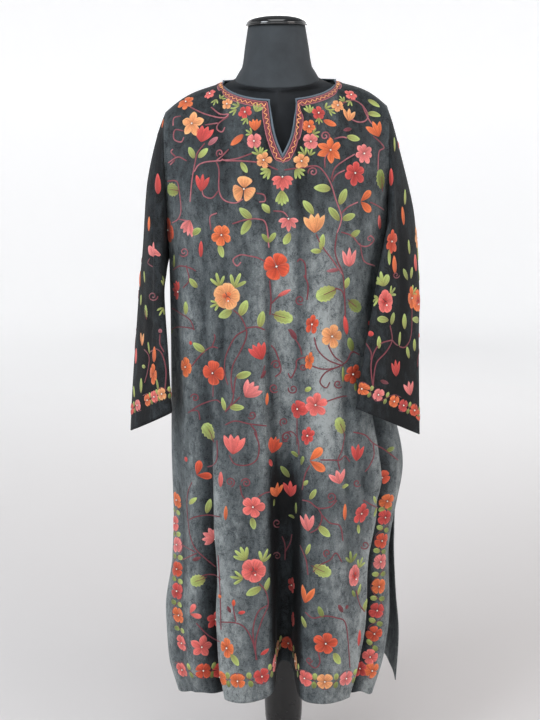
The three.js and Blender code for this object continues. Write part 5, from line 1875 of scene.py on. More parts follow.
    def shifted(self, at: Anchor, angle: float, distance: float) -> Anchor:
        """Move an anchor along a direction, in mm."""
        turn = math.radians(angle)
        away = distance * np.array([math.sin(turn), math.cos(turn)])
        place = self.place(at, away[None])[0]
        point = None if at.ways is None else at.point + at.ways @ away * MM
        return Anchor(float(place[0]), float(place[1]), at.turn, point, at.ways)

    def line(self, at: Anchor, points: Sequence[tuple[float, float]], angle: float) -> np.ndarray:
        """Turn a local line, in mm, into columns and rows."""
        turn = math.radians(angle)
        way = np.array([[math.cos(turn), math.sin(turn)], [-math.sin(turn), math.cos(turn)]])
        local = np.array(points, float) @ way.T
        return self.place(at, local)

    def finish(self, name: str, finishes: Finishes) -> None:
        """Turn all the stitches and beads into meshes and dress them."""
        place = np.vstack(self.places)
        points = self.cloth.read(self.cloth.points, place[:, 0], place[:, 1])
        normals = self.cloth.read(self.cloth.normals, place[:, 0], place[:, 1])
        points = points + normals * (np.concatenate(self.heights)[:, None] + 0.15) * MM
        quads = np.vstack(self.quads)
        a, b, c = points[quads[:, 0]], points[quads[:, 1]], points[quads[:, 2]]
        outward = (np.cross(b - a, c - a) * normals[quads[:, 0]]).sum(1)
        quads = np.where((outward < 0)[:, None], quads[:, ::-1], quads)
        thing = quad_object(name, points, quads)
        mesh = thing.data
        tints = np.hstack([np.vstack(self.tints), np.ones((len(points), 1))]).astype(np.float32)
        mesh.attributes.new("thread", "FLOAT_COLOR", "POINT").data.foreach_set("color", tints.ravel())
        corners = np.empty(len(mesh.loops), np.int32)
        mesh.loops.foreach_get("vertex_index", corners)
        runs = np.vstack(self.runs).astype(np.float32)
        mesh.uv_layers.new(name="rows").data.foreach_set("uv", runs[corners].ravel())
        dress(thing, "floss", finishes.floss)
        if self.beads:
            self.sew_beads(name + "_beads", finishes)

    def sew_beads(self, name: str, finishes: Finishes) -> None:
        """Make all the beads as one mesh of small turned domes."""
        radius, sides, rings = 1.7, 10, 4
        angle = 2 * np.pi * np.arange(sides) / sides
        points, quads = [], []
        beads = np.array(self.beads)
        centre = self.cloth.read(self.cloth.points, beads[:, 0], beads[:, 1])
        normal = self.cloth.read(self.cloth.normals, beads[:, 0], beads[:, 1])
        centre = centre + normal * beads[:, 2:3] * MM
        for middle, out in zip(centre, normal):
            side = np.cross(out, [0.0, 0.0, 1.0])
            side /= np.linalg.norm(side)
            up = np.cross(side, out)
            start = len(points) * sides
            for r in range(rings + 1):
                tilt = math.pi / 2 * r / rings
                ring = math.cos(tilt) * radius * MM + 1e-6
                flat = ring * (np.cos(angle)[:, None] * side + np.sin(angle)[:, None] * up)
                points.append(middle + flat + out * math.sin(tilt) * radius * MM)
            index = start + np.arange((rings + 1) * sides).reshape(rings + 1, sides)
            after = np.roll(index, -1, axis=1)
            quads.append(np.stack([index[:-1], after[:-1], after[1:], index[1:]], axis=-1).reshape(-1, 4))
        thing = quad_object(name, np.vstack(points), np.vstack(quads))
        dress(thing, "bead", finishes.bead)



# Columns: kind, x, y, size in pixels of the frame, angle in degrees clockwise from up, thread,
# petals (1 where left out) and squeeze (1.0 where left out)
NECK_MOTIFS = """
FLOWER 210 94 7 20 CORAL 6 0.8; FLOWER 227 104 6.5 10 PEACH 5 0.9; FLOWER 245 112 7 40 RED 5
TULIP 255 125 6.5 0 ORANGE 4; FLOWER 254 141 7.5 45 PINK 4; FLOWER 263.5 160 8 15 PEACH 5
BUD 237 140 8 235 ORANGE 1 0.85; LOTUS 282.5 182 8 180 CORAL 7; CALYX 282 197.5 8.5 180 GREEN 5 0.9
FLOWER 276.5 266.5 13.5 25 FLAME 4; LOTUS 288.5 223.5 7.5 180 PINK 5; FLOWER 351 95 7 10 CORAL 5
FLOWER 338 105.5 7 45 PEACH 5; TULIP 349 115 7.5 5 PEACH 3; FLOWER 318.5 113 7.2 0 RED 5
FLOWER 309 126.5 7 30 ORANGE 5; BUD 330 123 7 105 ORANGE 1 0.9; FLOWER 310.7 141.5 7.8 40 PINK 4
FLOWER 301.5 161 8 0 PEACH 5; SPRAY 215 102 4.5 205 GREEN 3; SPRAY 222 97 4.5 35 GREEN 3
SPRAY 236 105 5 300 GREEN 3; SPRAY 233 111 5 255 GREEN 3; SPRAY 258 107 6.5 25 GREEN 4
SPRAY 245 121 4.5 215 GREEN 3; SPRAY 249 132 4.5 305 GREEN 3; SPRAY 257 151 5.5 330 GREEN 3
SPRAY 264 152 4.5 60 GREEN 3; SPRAY 266 173 6.5 235 GREEN 4; SPRAY 342 99 4.5 320 GREEN 3
SPRAY 349 103 4.5 200 GREEN 3; SPRAY 328 107 5 60 GREEN 3; SPRAY 332 112 4.5 110 GREEN 3
SPRAY 309 109 5.5 345 GREEN 4; SPRAY 319 121 4 180 GREEN 3; SPRAY 316 133 5 70 GREEN 3
SPRAY 303 151 5.5 330 GREEN 3; SPRAY 311 152 4.5 20 GREEN 3; SPRAY 299 173 6.5 140 GREEN 4
"""
FRONT_MOTIFS = """
FLOWER 186 102 9 70 ORANGE 6; STAR 192 123.5 12.5 10 PEACH 5; TULIP 203 134 9 18 RED 4 1.3
LEAF 213 141 6.5 60 ROSE; LEAF 191.5 152.5 6.5 332 GREEN 1 1.2; LEAF 203 153 7 55 GREEN 1 1.1
TOOTHED 172 189.5 8 272 GREEN 1 1.2; TULIP 202 183 9.5 10 RED 3 0.9; FLOWER 244 189 12.5 8 PEACH 3 0.9
LEAF 244 167.5 6 148 GREEN 1 1.1; LEAF 266.5 208.5 6 322 GREEN 1 1.2; LEAF 245.5 213.5 8 310 GREEN 1 1.1
LEAF 246 227 8.5 215 GREEN 1 1.1; LEAF 266 238.5 6 320 OLIVE; LEAF 272.5 237 6 35 GREEN
TULIP 188 227 9 205 PINK 4 1.1; LEAF 196 231.5 6 60 GREEN 1 1.3; FLOWER 221.5 235 11 40 ORANGE 5
LEAF 221 251 6.5 165 GREEN 1 1.1; BUD 201 249 8 3 RED 1 0.6; TULIP 376 129 9 335 ORANGE 3
LEAF 374 103 7 112 GREEN 1 1.1; LEAF 374.5 114 7 93 GREEN; LEAF 353.5 138 7.5 96 GREEN
LEAF 347.5 129.5 5 255 MAROON 1 0.9; STAR 330.5 150 12 0 ORANGE 6; FLOWER 364 153.5 10 0 PINK 7
FLOWER 355 173 11.5 10 RED 6; LEAF 322.5 188 8.5 275 GREEN 1 1.1; LEAF 343 196.5 8.5 25 GREEN 1 1.1
LEAF 334 213.5 8.5 320 GREEN; LEAF 349 217 7.5 75 GREEN 1 1.1; PAIR 365.5 201.5 10.5 92 ORANGE 2
TOOTHED 381 179 9.5 350 OLIVE 1 0.9; LEAF 287 239 6.5 210 GREEN 1 1.3; LEAF 308.5 207 8.5 322 GREEN
TULIP 314.5 223.5 10.5 0 PEACH 4 1.1; LEAF 322 242 8 8 GREEN 1 0.9; LEAF 316 251 5.5 275 GREEN 1 1.1
LEAF 355.5 233.5 6.5 70 GREEN 1 1.2; ROSE 227 296.5 14 10 PEACH 5; SPRAY 218 280 8 348 GREEN 3
SPRAY 237 281 9 25 GREEN 3; SPRAY 214.5 305 6 245 GREEN 3; LEAF 225.5 314 8.5 245 GREEN 1 1.2
LEAF 243.5 308 8.5 25 GREEN 1 1.2; LOTUS 176.5 289.5 8 290 RED 6; LEAF 193 283 6.5 310 GREEN 1 1.2
LEAF 174 262.5 7.5 10 GREEN 1 0.7; LEAF 185.7 308 7 5 GREEN 1 1.2; LEAF 172 331.4 4.5 215 OLIVE
LEAF 261.3 319.3 8.5 12 GREEN 1 1.1; TOOTHED 282.8 317 9.5 105 GREEN; TULIP 259 352 10 338 RED 4
BUD 263.5 374.5 5 35 MAROON 1 0.8; FLOWER 185.7 367 10.5 5 ORANGE 4 0.85; FLOWER 212.8 373 12.5 0 FLAME 4
LEAF 199 347.6 8 305 GREEN 1 1.1; BERRY 190.6 343 2.2 0 RED; TULIP 250.7 390.7 10 40 PINK 4 1.1
LEAF 243.6 375 8 75 GREEN 1 1.1; LEAF 223.5 404 7 345 GREEN; LEAF 236.4 407.5 8 92 GREEN
TOOTHED 210 431.5 9.5 318 GREEN 1 1.2; BUD 267 399 6.5 5 ORANGE 1 0.7; TULIP 349.3 259.3 10 0 PINK 3 0.85
TOOTHED 326.4 293.6 10.5 250 GREEN; LEAF 333 270.4 7 265 ROSE 1 0.8; LEAF 346.7 283 6 20 GREEN 1 1.2
TOOTHED 355 305.7 8.5 130 OLIVE; FLOWER 312 324.3 10 10 FLAME 5 0.65; BUD 345.7 325 10 352 RED 1 0.55
FLOWER 332 336.4 12 20 PEACH 5; LEAF 350.7 344.3 7.5 345 OLIVE 1 1.1
FLOWER 309.3 360.7 9.5 10 ORANGE 5 0.5; FLOWER 353 374.3 10.5 30 FLAME 5 0.85
LEAF 355.7 387 4.5 180 OLIVE; LEAF 343 374.3 8 0 GREEN 1 0.6; LEAF 308 389.3 4 60 GREEN 1 1.5
FLOWER 315.5 405 12 15 CORAL 6; FLOWER 297.5 409 10 10 RED 4 0.75; TOOTHED 340.7 425.7 9 335 GREEN
FLOWER 307.4 435.7 9.5 10 RED 6 0.75; LEAF 284 293 7.5 62 CORAL 1 0.7; LEAF 293 334.3 6.5 330 MAROON
TULIP 233.6 445 11.5 5 CORAL 4 1.1; TULIP 275.5 445 9.5 28 FLAME 4 1.1; PAIR 201.5 472 11 55 FLAME 2
BUD 220.7 479.3 8.5 4 CORAL 1 0.7; BUD 270.7 462.9 5 150 RED 1 1.1; BERRY 186 459.3 3 0 RED
TULIP 277 490 9 8 ORANGE 3 1.1; LEAF 274 502.5 4 190 OLIVE 1 1.1; TULIP 290.5 489 10 0 RED 3 0.9
LEAF 285 471.5 8 325 OLIVE 1 0.9; LEAF 192.3 501 7 50 GREEN 1 0.9; LEAF 208.6 506 8.5 15 GREEN 1 0.9
FLOWER 253 507 12 20 CORAL 5; LEAF 253 523.6 6.5 170 GREEN 1 1.2; BUD 225.7 513 8 5 ORANGE 1 0.6
LOTUS 211.5 535.5 8.5 318 PINK 6; LEAF 196.4 559 5.5 68 MAROON 1 0.9
TOOTHED 197.5 580.7 8.5 250 GREEN 1 1.1; ROSE 253.6 570.7 13.5 25 CORAL 5; SPRAY 242 554.5 9.5 325 GREEN 4
SPRAY 265 556 8.5 25 GREEN 3; SPRAY 237 578 8 275 GREEN 3; LEAF 253.6 591.4 9 242 GREEN 1 1.1
LEAF 267.5 584.3 7.5 20 GREEN 1 1.1; PAIR 193.8 612.5 8.5 68 CORAL 2; STAR 215.7 619.3 11 10 RED 5 0.8
STAR 201.7 647 12.5 12 CORAL 5; FLOWER 226.8 648 11.5 0 ORANGE 4 0.65; LEAF 235 660 7.5 148 GREEN 1 1.1
BUD 233.6 603 4 5 FLAME 1 1.1; BUD 229 609.5 4 335 MAROON 1 1.1; BUD 241.7 612.6 4 80 RED 1 1.1
BUD 265 652 5.5 60 RED 1 0.9; BERRY 219.7 596.4 2.4 0 ORANGE; LEAF 295 454 5.5 285 OLIVE 1 1.1
LEAF 302 460.5 5.5 20 OLIVE; PAIR 316.5 460.3 12.5 86 ORANGE 2; TULIP 338.5 477.3 8.5 345 PINK 3 1.2
LEAF 345 486 4.5 80 GREEN 1 1.2; LEAF 313 494.3 6.5 30 GREEN; LEAF 305.5 483 4 35 GREEN 1 1.2
LEAF 296 508 6.5 2 OLIVE 1 0.8; LEAF 292 516.3 4.5 272 OLIVE; TULIP 307 523 10.5 352 PINK 3 0.85
BUD 345 512 9 0 ORANGE 1 0.6; TULIP 357.5 453 10 8 RED 3 0.8; FLOWER 382 477.5 9 40 FLAME 4 0.9
LEAF 390.7 449.3 5.5 75 OLIVE 1 1.1; FLOWER 361.3 513.6 11.5 20 RED 5 0.8; LEAF 358.6 529 5.5 172 GREEN
LEAF 375 500 5.5 340 GREEN 1 0.9; LEAF 375.5 512 5.5 205 GREEN 1 0.9; LEAF 324.3 531.5 8.5 135 GREEN 1 1.1
LEAF 308 549.3 6.5 20 GREEN 1 0.8; TOOTHED 322 570.7 9.8 115 GREEN; ROSE 354.3 575.7 12.5 5 PINK 5 0.55
SPRAY 350.7 557.5 8 355 OLIVE 3; SPRAY 360.5 563 7 30 GREEN 3; LEAF 359.3 589.5 6.5 20 GREEN 1 0.9
LEAF 353.6 593.6 4.5 340 OLIVE; LEAF 365.7 605 7 20 GREEN 1 0.9; FLOWER 292 585 10 10 RED 5 0.65
FLOWER 293 619.3 9.5 5 RED 4 0.5; TULIP 306.5 595 11 12 ORANGE 2; LEAF 320.7 612 7 340 OLIVE
LEAF 303.6 622 6.5 335 GREEN; FLOWER 325.7 643.6 13 15 FLAME 5; LEAF 337 658.6 7.5 152 GREEN 1 1.2
BUD 359.3 638 9.5 5 RED 1 0.55; BUD 340.7 608.6 5.5 330 MAROON 1 0.9; BERRY 347 607 2.4 0 MAROON
"""
LEFT_SLEEVE_MOTIFS = """
FLOWER 168.5 230 13 0 FLAME 4 0.8; TULIP 153.6 249.5 8.5 8 PINK 3; LEAF 144.5 277 6.5 345 GREEN
BUD 149 224 7.5 8 ORANGE 1 0.7; BUD 157.5 183.5 10 0 RED 1 0.8; BUD 163 123 5 20 ORANGE 1 0.8
BUD 140 279 9 5 ORANGE 1 0.8; LEAF 141 300 6 15 GREEN 1 0.9; TOOTHED 146 311.5 6.5 355 GREEN 1 0.9
TULIP 142.3 339.5 8 5 PEACH 2; LEAF 149 348 6.5 348 GREEN 1 0.6; ROSE 165.5 298.5 11.5 0 CORAL 5 0.6
SPRAY 162 311 5.5 215 GREEN 3; SPRAY 163 281 6 350 GREEN 3; LEAF 143.6 366.5 4 275 GREEN 1 1.2
FLOWER 153.3 374 10.5 5 ORANGE 4 0.6; LEAF 141 385.5 8 5 GREEN 1 0.9; LEAF 157.6 385 6.5 350 GREEN 1 0.6
BUD 136 356 8.5 8 CORAL 1 0.8; BERRY 160.2 331 2.4 0 ROSE
"""
RIGHT_SLEEVE_MOTIFS = """
BUD 391 177 8.5 0 RED 1 0.7; LEAF 394.5 144 7.5 0 GREEN 1 0.7; BUD 398.3 144.5 6 0 PINK 1 0.8
BUD 404 165 5.5 350 ORANGE 1 0.9; LEAF 405 197 8 5 GREEN 1 0.9; BUD 403 215.5 9.5 350 ORANGE 1 0.6
LEAF 409 247 7.5 348 GREEN 1 0.9; BUD 379.5 222 7.5 350 CORAL 1 0.8
FLOWER 391.5 241.5 12.5 8 FLAME 6 0.65; LEAF 389.3 257 8 180 GREEN 1 0.6
ROSE 384.7 301.5 12 0 CORAL 5 0.75; SPRAY 380 279 8.5 340 GREEN 4; SPRAY 392.5 291.5 6.5 50 GREEN 3
SPRAY 374.5 300 6.5 268 GREEN 3; LEAF 382 319.3 6.8 278 GREEN 1 1.2; LEAF 392.6 318.6 6.5 20 GREEN 1 1.2
FLOWER 411.5 298 11 0 ORANGE 4 0.65; LEAF 405.7 274.5 6.5 335 GREEN 1 0.9
LEAF 411.4 273 6.5 15 GREEN 1 0.9; BUD 415.5 263 9 355 CORAL 1 0.8; LEAF 404.5 321.5 8 0 GREEN 1 0.9
LEAF 399.5 339 7.5 8 GREEN 1 0.7; LEAF 408 352.5 6.5 345 GREEN 1 0.9; LEAF 414.5 345 6.5 0 GREEN 1 0.9
TULIP 395.8 368.6 9.5 357 RED 3 0.7; TULIP 409.5 388.6 8.5 350 PINK 3 0.9; BERRY 368.8 323 2.4 0 RED
BERRY 370.2 333.6 3 0 RED; LEAF 384.3 382 5.5 110 MAROON 1 0.9
"""
# Each stem is a line of places in the frame, from its foot to its tip
STEMS = """
190,107 205,114 223,118 229,114; 211,107 220,114 229,114; 229,116 219,123 217,129 222,132 225,127
205,125 218,123; 181,116 174,118 173,126; 184,131 175,130 174,139 181,142 184,137
205,143 198,152 196,158 192,180 190,202; 187,161 178,157 168,163; 176,157 171,152 173,149; 175,160 170,165
278,170 255,162 216,161 200,164 194,172; 253,153 235,159 216,161; 229,149 222,156 216,161
216,161 219,170 219,190 224,200 235,203 243,199; 219,190 212,198 204,196 202,190
256,193 264,195 265,201 259,202; 163,182 176,181 179,190 181,210 178,219 172,223; 178,219 188,221
211,230 210,217 217,213; 232,224 245,220 258,219 266,224 269,248; 273,211 283,212 288,217
268,263 258,258 249,256 240,255 233,260 237,266 241,262
284,170 300,168 316,166 324,172 331,184 336,200 341,214 341,222 337,233
337,233 335,250 338,262 343,275 345,305 345,320; 325,168 325,158 329,152; 331,180 335,168 345,160 355,154
332,182 336,175 345,170; 341,214 348,207 358,202; 370,202 378,206 384,210; 334,139 342,137 347,138
341,104 352,100 362,105 368,115 365,121 358,122 351,119; 362,105 368,118 372,124
373,136 380,142 384,148 379,152 378,170; 341,232 352,236 360,245 368,246 374,240 370,235
360,243 362,255 365,262 375,266; 316,234 322,246 331,258 343,275; 307,300 308,285 304,275
297,262 300,259 305,264 306,280; 335,288 342,291 345,300; 271,304 277,298 284,293 290,291
270,280 271,300 270,315; 314,337 318,350 328,360 343,366; 328,345 334,356 343,363; 288,329 299,345 302,355
312,366 322,369 335,368 346,362 352,352 360,355; 306,357 297,360 296,368 291,378 288,373
335,368 325,373 320,382 326,388 330,382; 325,402 340,397 347,396; 297,418 297,445; 186,265 189,280 183,288
173,270 180,266 190,268 196,271; 172,308 180,313 190,320 194,329; 170,330 178,327 190,328 195,330
233,310 240,316 246,328 246,338 240,352 233,365 231,380 233,393
246,330 236,336 229,348 225,360 225,375 228,385; 246,328 257,327 265,330; 265,365 262,376
271,345 276,352 281,370 275,377; 191,367 198,358 205,351 212,347 218,348; 212,347 215,338 214,334
213,385 213,397; 243,375 236,378 234,390 232,402 225,412; 240,397 232,405 225,412
188,413 200,405 215,400 221,403; 200,420 198,411 191,411; 225,425 235,421 250,424 267,426
250,424 256,432 257,440; 229,455 235,464 248,465 257,459 259,445 254,432; 217,440 217,458 213,465 207,467
192,482 188,492 187,505 188,520 190,535 195,548 205,558 216,567; 189,520 195,517 208,515 220,517
182,545 195,552; 182,560 197,553; 218,555 219,570 220,590 221,630; 196,580 205,575 215,575 221,580
240,485 242,495 246,500; 258,497 265,493 270,492; 259,583 266,592 268,605 262,620 256,640 256,660
268,605 258,612 253,630 255,650; 221,622 236,623 245,628 252,640 257,660; 236,622 234,612 233,606
196,623 208,635 220,642; 299,455 298,440 292,432 284,434 283,441 288,441; 310,465 305,475 302,490
320,460 330,460 340,460 345,456 350,462; 345,434 342,450 338,460 340,470
353,432 365,435 373,443 385,450 398,460; 373,443 374,455 370,465 365,472
337,500 330,507 318,508 310,502 302,500; 318,508 322,517 318,528 310,533; 322,515 330,523 340,526 343,541
300,545 306,560 308,575; 313,572 320,565 330,560 336,553 342,562; 363,500 370,504 378,508
356,590 360,605 365,612; 305,612 313,618 325,616 337,618 345,622 348,640 350,668
318,652 320,662 315,668 307,662; 390,325 392,340 386,352 377,362 374,375 373,390
392,340 380,344 373,355 371,368 373,388; 366,343 371,352 371,360; 412,305 411,335 405,347 397,345 392,340
150,258 148,263 153,267; 142,347 149,356 148,370 144,385; 150,352 156,349 162,354 166,370 165,390
160,334 160,344 164,352; 285,560 285,545 282,536; 285,552 290,543 292,534
"""
# Columns: x, y, radius, starting angle, turns (a negative one winds the other way)
CURLS = """
220 153 4 120 1.2; 313 172 5 160 1.4; 325 136 5 60 -1.5; 300 300 5 60 1.4; 184 252 5 150 -1.4
303 367 3.5 20 1.3; 276 365 5 180 1.4; 274 388 5 40 1.4; 293 389 5 200 -1.4; 338 384 4.5 30 1.3
284 422 4.5 120 1.3; 286 437 5 0 -1.4; 195 398 4.5 190 1.3; 252 415 4.5 150 -1.3; 230 482 5 80 -1.5
246 483 5 190 1.5; 331 497 5.5 120 -1.4; 327 553 4 90 1.3; 357 483 4 30 1.2; 365 545 4.5 160 -1.3
309 660 3.5 0 1.3; 153 296 5 0 1.4; 277 523 4.5 60 1.2; 277 556 4 200 1.3; 370 239 4.5 90 -1.2
396 275 3.5 0 1.3
"""
# Columns: x, y, thread, for the flowers of the borders that the photograph shows
HEM_FLOWERS = """
184 673 CORAL; 202 674 FLAME; 237 679 ORANGE; 262 677 RED; 288 645 FLAME; 305 675 CORAL; 325 679 PEACH
346 681 PINK; 359 675 RED; 370 673 ORANGE
"""
LEFT_SLIT_FLOWERS = """
178 488 ORANGE; 175 523 CORAL; 177 545 PINK; 177 568 FLAME; 177 592 RED; 179 616 ORANGE; 182 643 CORAL
"""
RIGHT_SLIT_FLOWERS = """
388 497 ORANGE; 385 518 RED; 382 540 FLAME; 380.5 562 PINK; 379 586 ORANGE; 377 610 RED; 374.5 633 FLAME
370 657 CORAL
"""
LEFT_CUFF_FLOWERS = "139 414 PINK; 150 411 ORANGE; 157 406 CORAL; 164.5 402 PEACH"
RIGHT_CUFF_FLOWERS = "360 396 ORANGE; 375 402 PINK; 391 408 ORANGE; 401 413 RED; 412.5 416 FLAME"
# The least that a motif's width is narrowed to on the far side
FAR_SQUEEZE = 0.85
CYCLE = (Thread.CORAL, Thread.FLAME, Thread.RED, Thread.ORANGE, Thread.PINK, Thread.PEACH)
OTHER_COLOUR = {
    Thread.ORANGE: Thread.CORAL,
    Thread.FLAME: Thread.PEACH,
    Thread.PEACH: Thread.RED,
    Thread.CORAL: Thread.ORANGE,
    Thread.PINK: Thread.FLAME,
    Thread.RED: Thread.PINK,
}


def catmull_rom(points: Sequence[tuple[float, float]], per_span: int) -> np.ndarray:
    """Run a smooth curve through points.

    Args:
        points: The points it goes through.
        per_span: How many steps it takes from each point to the next.

    Returns:
        The curve's points.
    """
    p = np.array(points, float)
    p = np.vstack([2 * p[0] - p[1], p, 2 * p[-1] - p[-2]])
    t = np.linspace(0, 1, per_span, endpoint=False)[:, None]
    spans = []
    for a, b, c, d in zip(p[:-3], p[1:-2], p[2:-1], p[3:]):
        spans.append(b + 0.5 * t * (c - a + t * (2 * a - 5 * b + 4 * c - d + t * (3 * (b - c) + d - a))))
    return np.vstack(spans + [p[-2:-1]])


@dataclass
class Embroidery:
    """All the gown's needlework: the flowers and stems, the borders and the neck edge."""

    gown: Gown
    pixel_mm: float = 1.93
    # A stem that steps over more columns or rows than this has left its fold, so it is broken there
    widest_step: float = 14.0
    # Columns from a sleeve's silhouette within which nothing is copied to its far side
    edge_columns: float = 9.0
    unit_mm: float = 47.0
    flower_mm: float = 17.5
    hem_distance: float = 49.0
    slit_distance: float = 32.0
    cuff_distance: float = 40.0

    def __post_init__(self) -> None:
        """Make a needlework for each piece's flowers, stems and borders."""
        self.cloths = {
            "front": self.gown.front,
            "sleeve_left": self.gown.sleeve_left,
            "sleeve_right": self.gown.sleeve_right,
            "back": self.gown.back,
        }
        self.trees = {name: cloth.tree() for name, cloth in self.cloths.items()}
        self.work = {}
        for seed, name in enumerate(self.cloths):
            for part in ("flowers", "stems", "borders"):
                self.work[name, part] = Needlework(self.cloths[name], seed)

    def hit(self, x: float, y: float) -> tuple[str, float, float] | None:
        """Find which cloth shows at a place in the frame.

        Args:
            x: The place's pixel from the left.
            y: Its pixel from the top.

        Returns:
            The cloth's name and the column and row there, or None.
        """
        start, way = Vector(PHOTO.PLACE), PHOTO.ray(x, y)
        best = None
        for name in ("front", "sleeve_left", "sleeve_right"):
            point, _, number, distance = self.trees[name].ray_cast(start, way)
            if point is not None and (best is None or distance < best[0]):
                best = (distance, name, number, np.array(point))
        if best is None:
            return None
        return (best[1], *self.cloths[best[1]].quad_place(best[2], best[3]))

    def behind(self, name: str, u: float, v: float) -> tuple[str, float, float]:
        """Give the place on the gown's far side that answers to a place on its near side."""
        cloth = self.cloths[name]
        if name == "front":
            far = self.cloths["back"]
            return "back", (cloth.columns - 1 - u) * (far.columns - 1) / (cloth.columns - 1), v
        return name, cloth.columns - u, v

    def hidden(self, name: str, u: float) -> bool:
        """Tell whether the far side's like of a place is well out of the camera's sight."""
        cloth = self.cloths[name]
        if not cloth.around:
            return True
        whole = cloth.columns
        return min(u % whole, -u % whole, abs(u % whole - whole / 2)) > self.edge_columns

    def sew(self, motifs: Iterable[Motif], far_side: bool) -> None:
        """Work the motifs of a table, and their like on the far side."""
        right, up = np.array([1.0, 0.0, 0.0]), np.array([0.0, 0.0, 1.0])
        for row in motifs:
            found = self.hit(row.x, row.y)
            if found is None:
                LOG.warning("no cloth at %s, %s for a %s", row.x, row.y, row.kind.name)
                continue
            name, u, v = found
            needle, size = self.work[name, "flowers"], row.size * self.pixel_mm
            at = needle.anchor(u, v, right, up)
            needle.motif(at, row.kind, size, row.angle, row.thread, row.petals, row.squeeze)
            if far_side and self.hidden(name, u):
                name, u, v = self.behind(name, u, v)
                needle = self.work[name, "flowers"]
                other = OTHER_COLOUR.get(row.thread, row.thread)
                at = needle.anchor(u, v, -right, up)
                narrow = max(row.squeeze, FAR_SQUEEZE)
                needle.motif(at, row.kind, size, -row.angle, other, row.petals, narrow)

    def run_stem(self, line: np.ndarray, far_side: bool = True) -> None:
        """Work one stem along places in the frame, on every cloth that it crosses."""
        runs: list[tuple[str, list[tuple[float, float]]]] = []
        for x, y in line:
            found = self.hit(x, y)
            if found is None:
                continue
            name, u, v = found
            last = runs[-1][1][-1] if runs and runs[-1][0] == name else None
            if last and max(abs(last[0] - u), abs(last[1] - v)) < self.widest_step:
                runs[-1][1].append((u, v))
            else:
                runs.append((name, [(u, v)]))
        tip = Thread.ROSE if line[:, 1].mean() < 260 else Thread.MAROON
        for name, places in runs:
            if len(places) < 3:
                continue
            self.work[name, "stems"].cord(np.array(places), Thread.MAROON, 2.8, other=tip)
            if far_side and all(self.hidden(name, u) for u, _ in places):
                far = [self.behind(name, u, v) for u, v in places]
                far_line = np.array([f[1:] for f in far])
                self.work[far[0][0], "stems"].cord(far_line, Thread.MAROON, 2.8, other=tip)

    def curl(self, x: float, y: float, radius: float, angle: float, turns: float) -> None:
        """Work one spiral, wound in from its rim, and its like on the far side."""
        part = np.linspace(0, 1, 26)
        turn = np.radians(angle) + 2 * np.pi * turns * part
        reach = radius * (1 - 0.82 * part)
        spiral = reach[:, None] * np.stack([np.cos(turn), np.sin(turn)], axis=-1)
        self.run_stem(spiral + (x, y), far_side=False)
        found = self.hit(x, y)
        if found is None or not self.hidden(found[0], found[1]):
            return
        name, u, v = self.behind(*found)
        needle = self.work[name, "stems"]
        at = needle.anchor(u, v, np.array([-1.0, 0.0, 0.0]), np.array([0.0, 0.0, 1.0]))
        wound = needle.line(at, spiral * (self.pixel_mm, -self.pixel_mm), 0.0)
        needle.cord(wound, Thread.MAROON, 2.8, other=Thread.MAROON)

    def path(
        self, name: str, edge: np.ndarray, distance: float, smooth: int = 0
    ) -> tuple[np.ndarray, np.ndarray]:
        """Run a line beside an edge of a cloth, at a distance in mm.

        Args:
            name: The cloth's name.
            edge: Columns and rows along the edge.
            distance: How far inside the edge the line runs.
            smooth: How many times its corners are rounded.

        Returns:
            Columns and rows along the line, and the inward direction at each.
        """
        cloth = self.cloths[name]
        p = cloth.read(cloth.points, edge[:, 0], edge[:, 1])
        n = cloth.read(cloth.normals, edge[:, 0], edge[:, 1])
        run = np.gradient(p, axis=0)
        run /= np.maximum(np.linalg.norm(run, axis=1, keepdims=True), 1e-9)
        inward = np.cross(n, run)
        middle = cloth.points[cloth.rows // 2].mean(axis=0)
        if np.mean((inward * (middle - p)).sum(1)) < 0:
            inward = -inward
        target = p + inward * distance * MM
        for _ in range(smooth):
            target[1:-1] = (target[:-2] + 2 * target[1:-1] + target[2:]) / 4
        places = []
        for point in target:
            near, _, number, _ = self.trees[name].find_nearest(Vector(point))
            places.append(cloth.quad_place(number, np.array(near)))
        return np.array(places), inward

    def border(
        self, name: str, line: np.ndarray, inward: np.ndarray, known: Iterable[tuple], scale: float = 1.0
    ) -> None:
        """Work a border of flowers and paired ovals along a line.

        Args:
            name: The cloth's name.
            line: Columns and rows along the border's middle.
            inward: The direction across the border at each.
            known: Flowers that the photograph shows, with x, y and thread.
            scale: The border's size against the hem's.
        """
        cloth, needle = self.cloths[name], self.work[name, "borders"]
        points = cloth.read(cloth.points, line[:, 0], line[:, 1])
        run = np.concatenate([[0], np.cumsum(np.linalg.norm(np.diff(points, axis=0), axis=1))]) / MM
        flowers = []
        for x, y, thread in known:
            found = self.hit(x, y)
            if found is not None and found[0] == name:
                place = cloth.read(cloth.points, np.array(found[1]), np.array(found[2]))
                flowers.append((float(run[np.argmin(np.linalg.norm(points - place, axis=1))]), thread))
        flowers.sort(key=lambda f: f[0])
        stops = [0.0] + [f[0] for f in flowers] + [float(run[-1])]
        shown = [None] + [f[1] for f in flowers] + [None]
        every: list[tuple[float, Thread]] = []
        for i in range(len(stops) - 1):
            gap = stops[i + 1] - stops[i]
            ends = (0 if shown[i] else 0.5) + (0 if shown[i + 1] else 0.5)
            more = max(0, round(gap / (self.unit_mm * scale) - 1 + ends * 0.5))
            first = 1 if shown[i] else 0.5
            span = more - 1 + first + (1 if shown[i + 1] else 0.5)
            for k in range(more):
                every.append((stops[i] + gap * (k + first) / span, CYCLE[(k + i) % len(CYCLE)]))
            if shown[i + 1]:
                every.append((stops[i + 1], shown[i + 1]))
        for i, (s, thread) in enumerate(every):
            at = self.stand(needle, run, line, inward, s)
            needle.motif(at, Kind.FLOWER, self.flower_mm * scale, 45, thread, 4, 1.0)
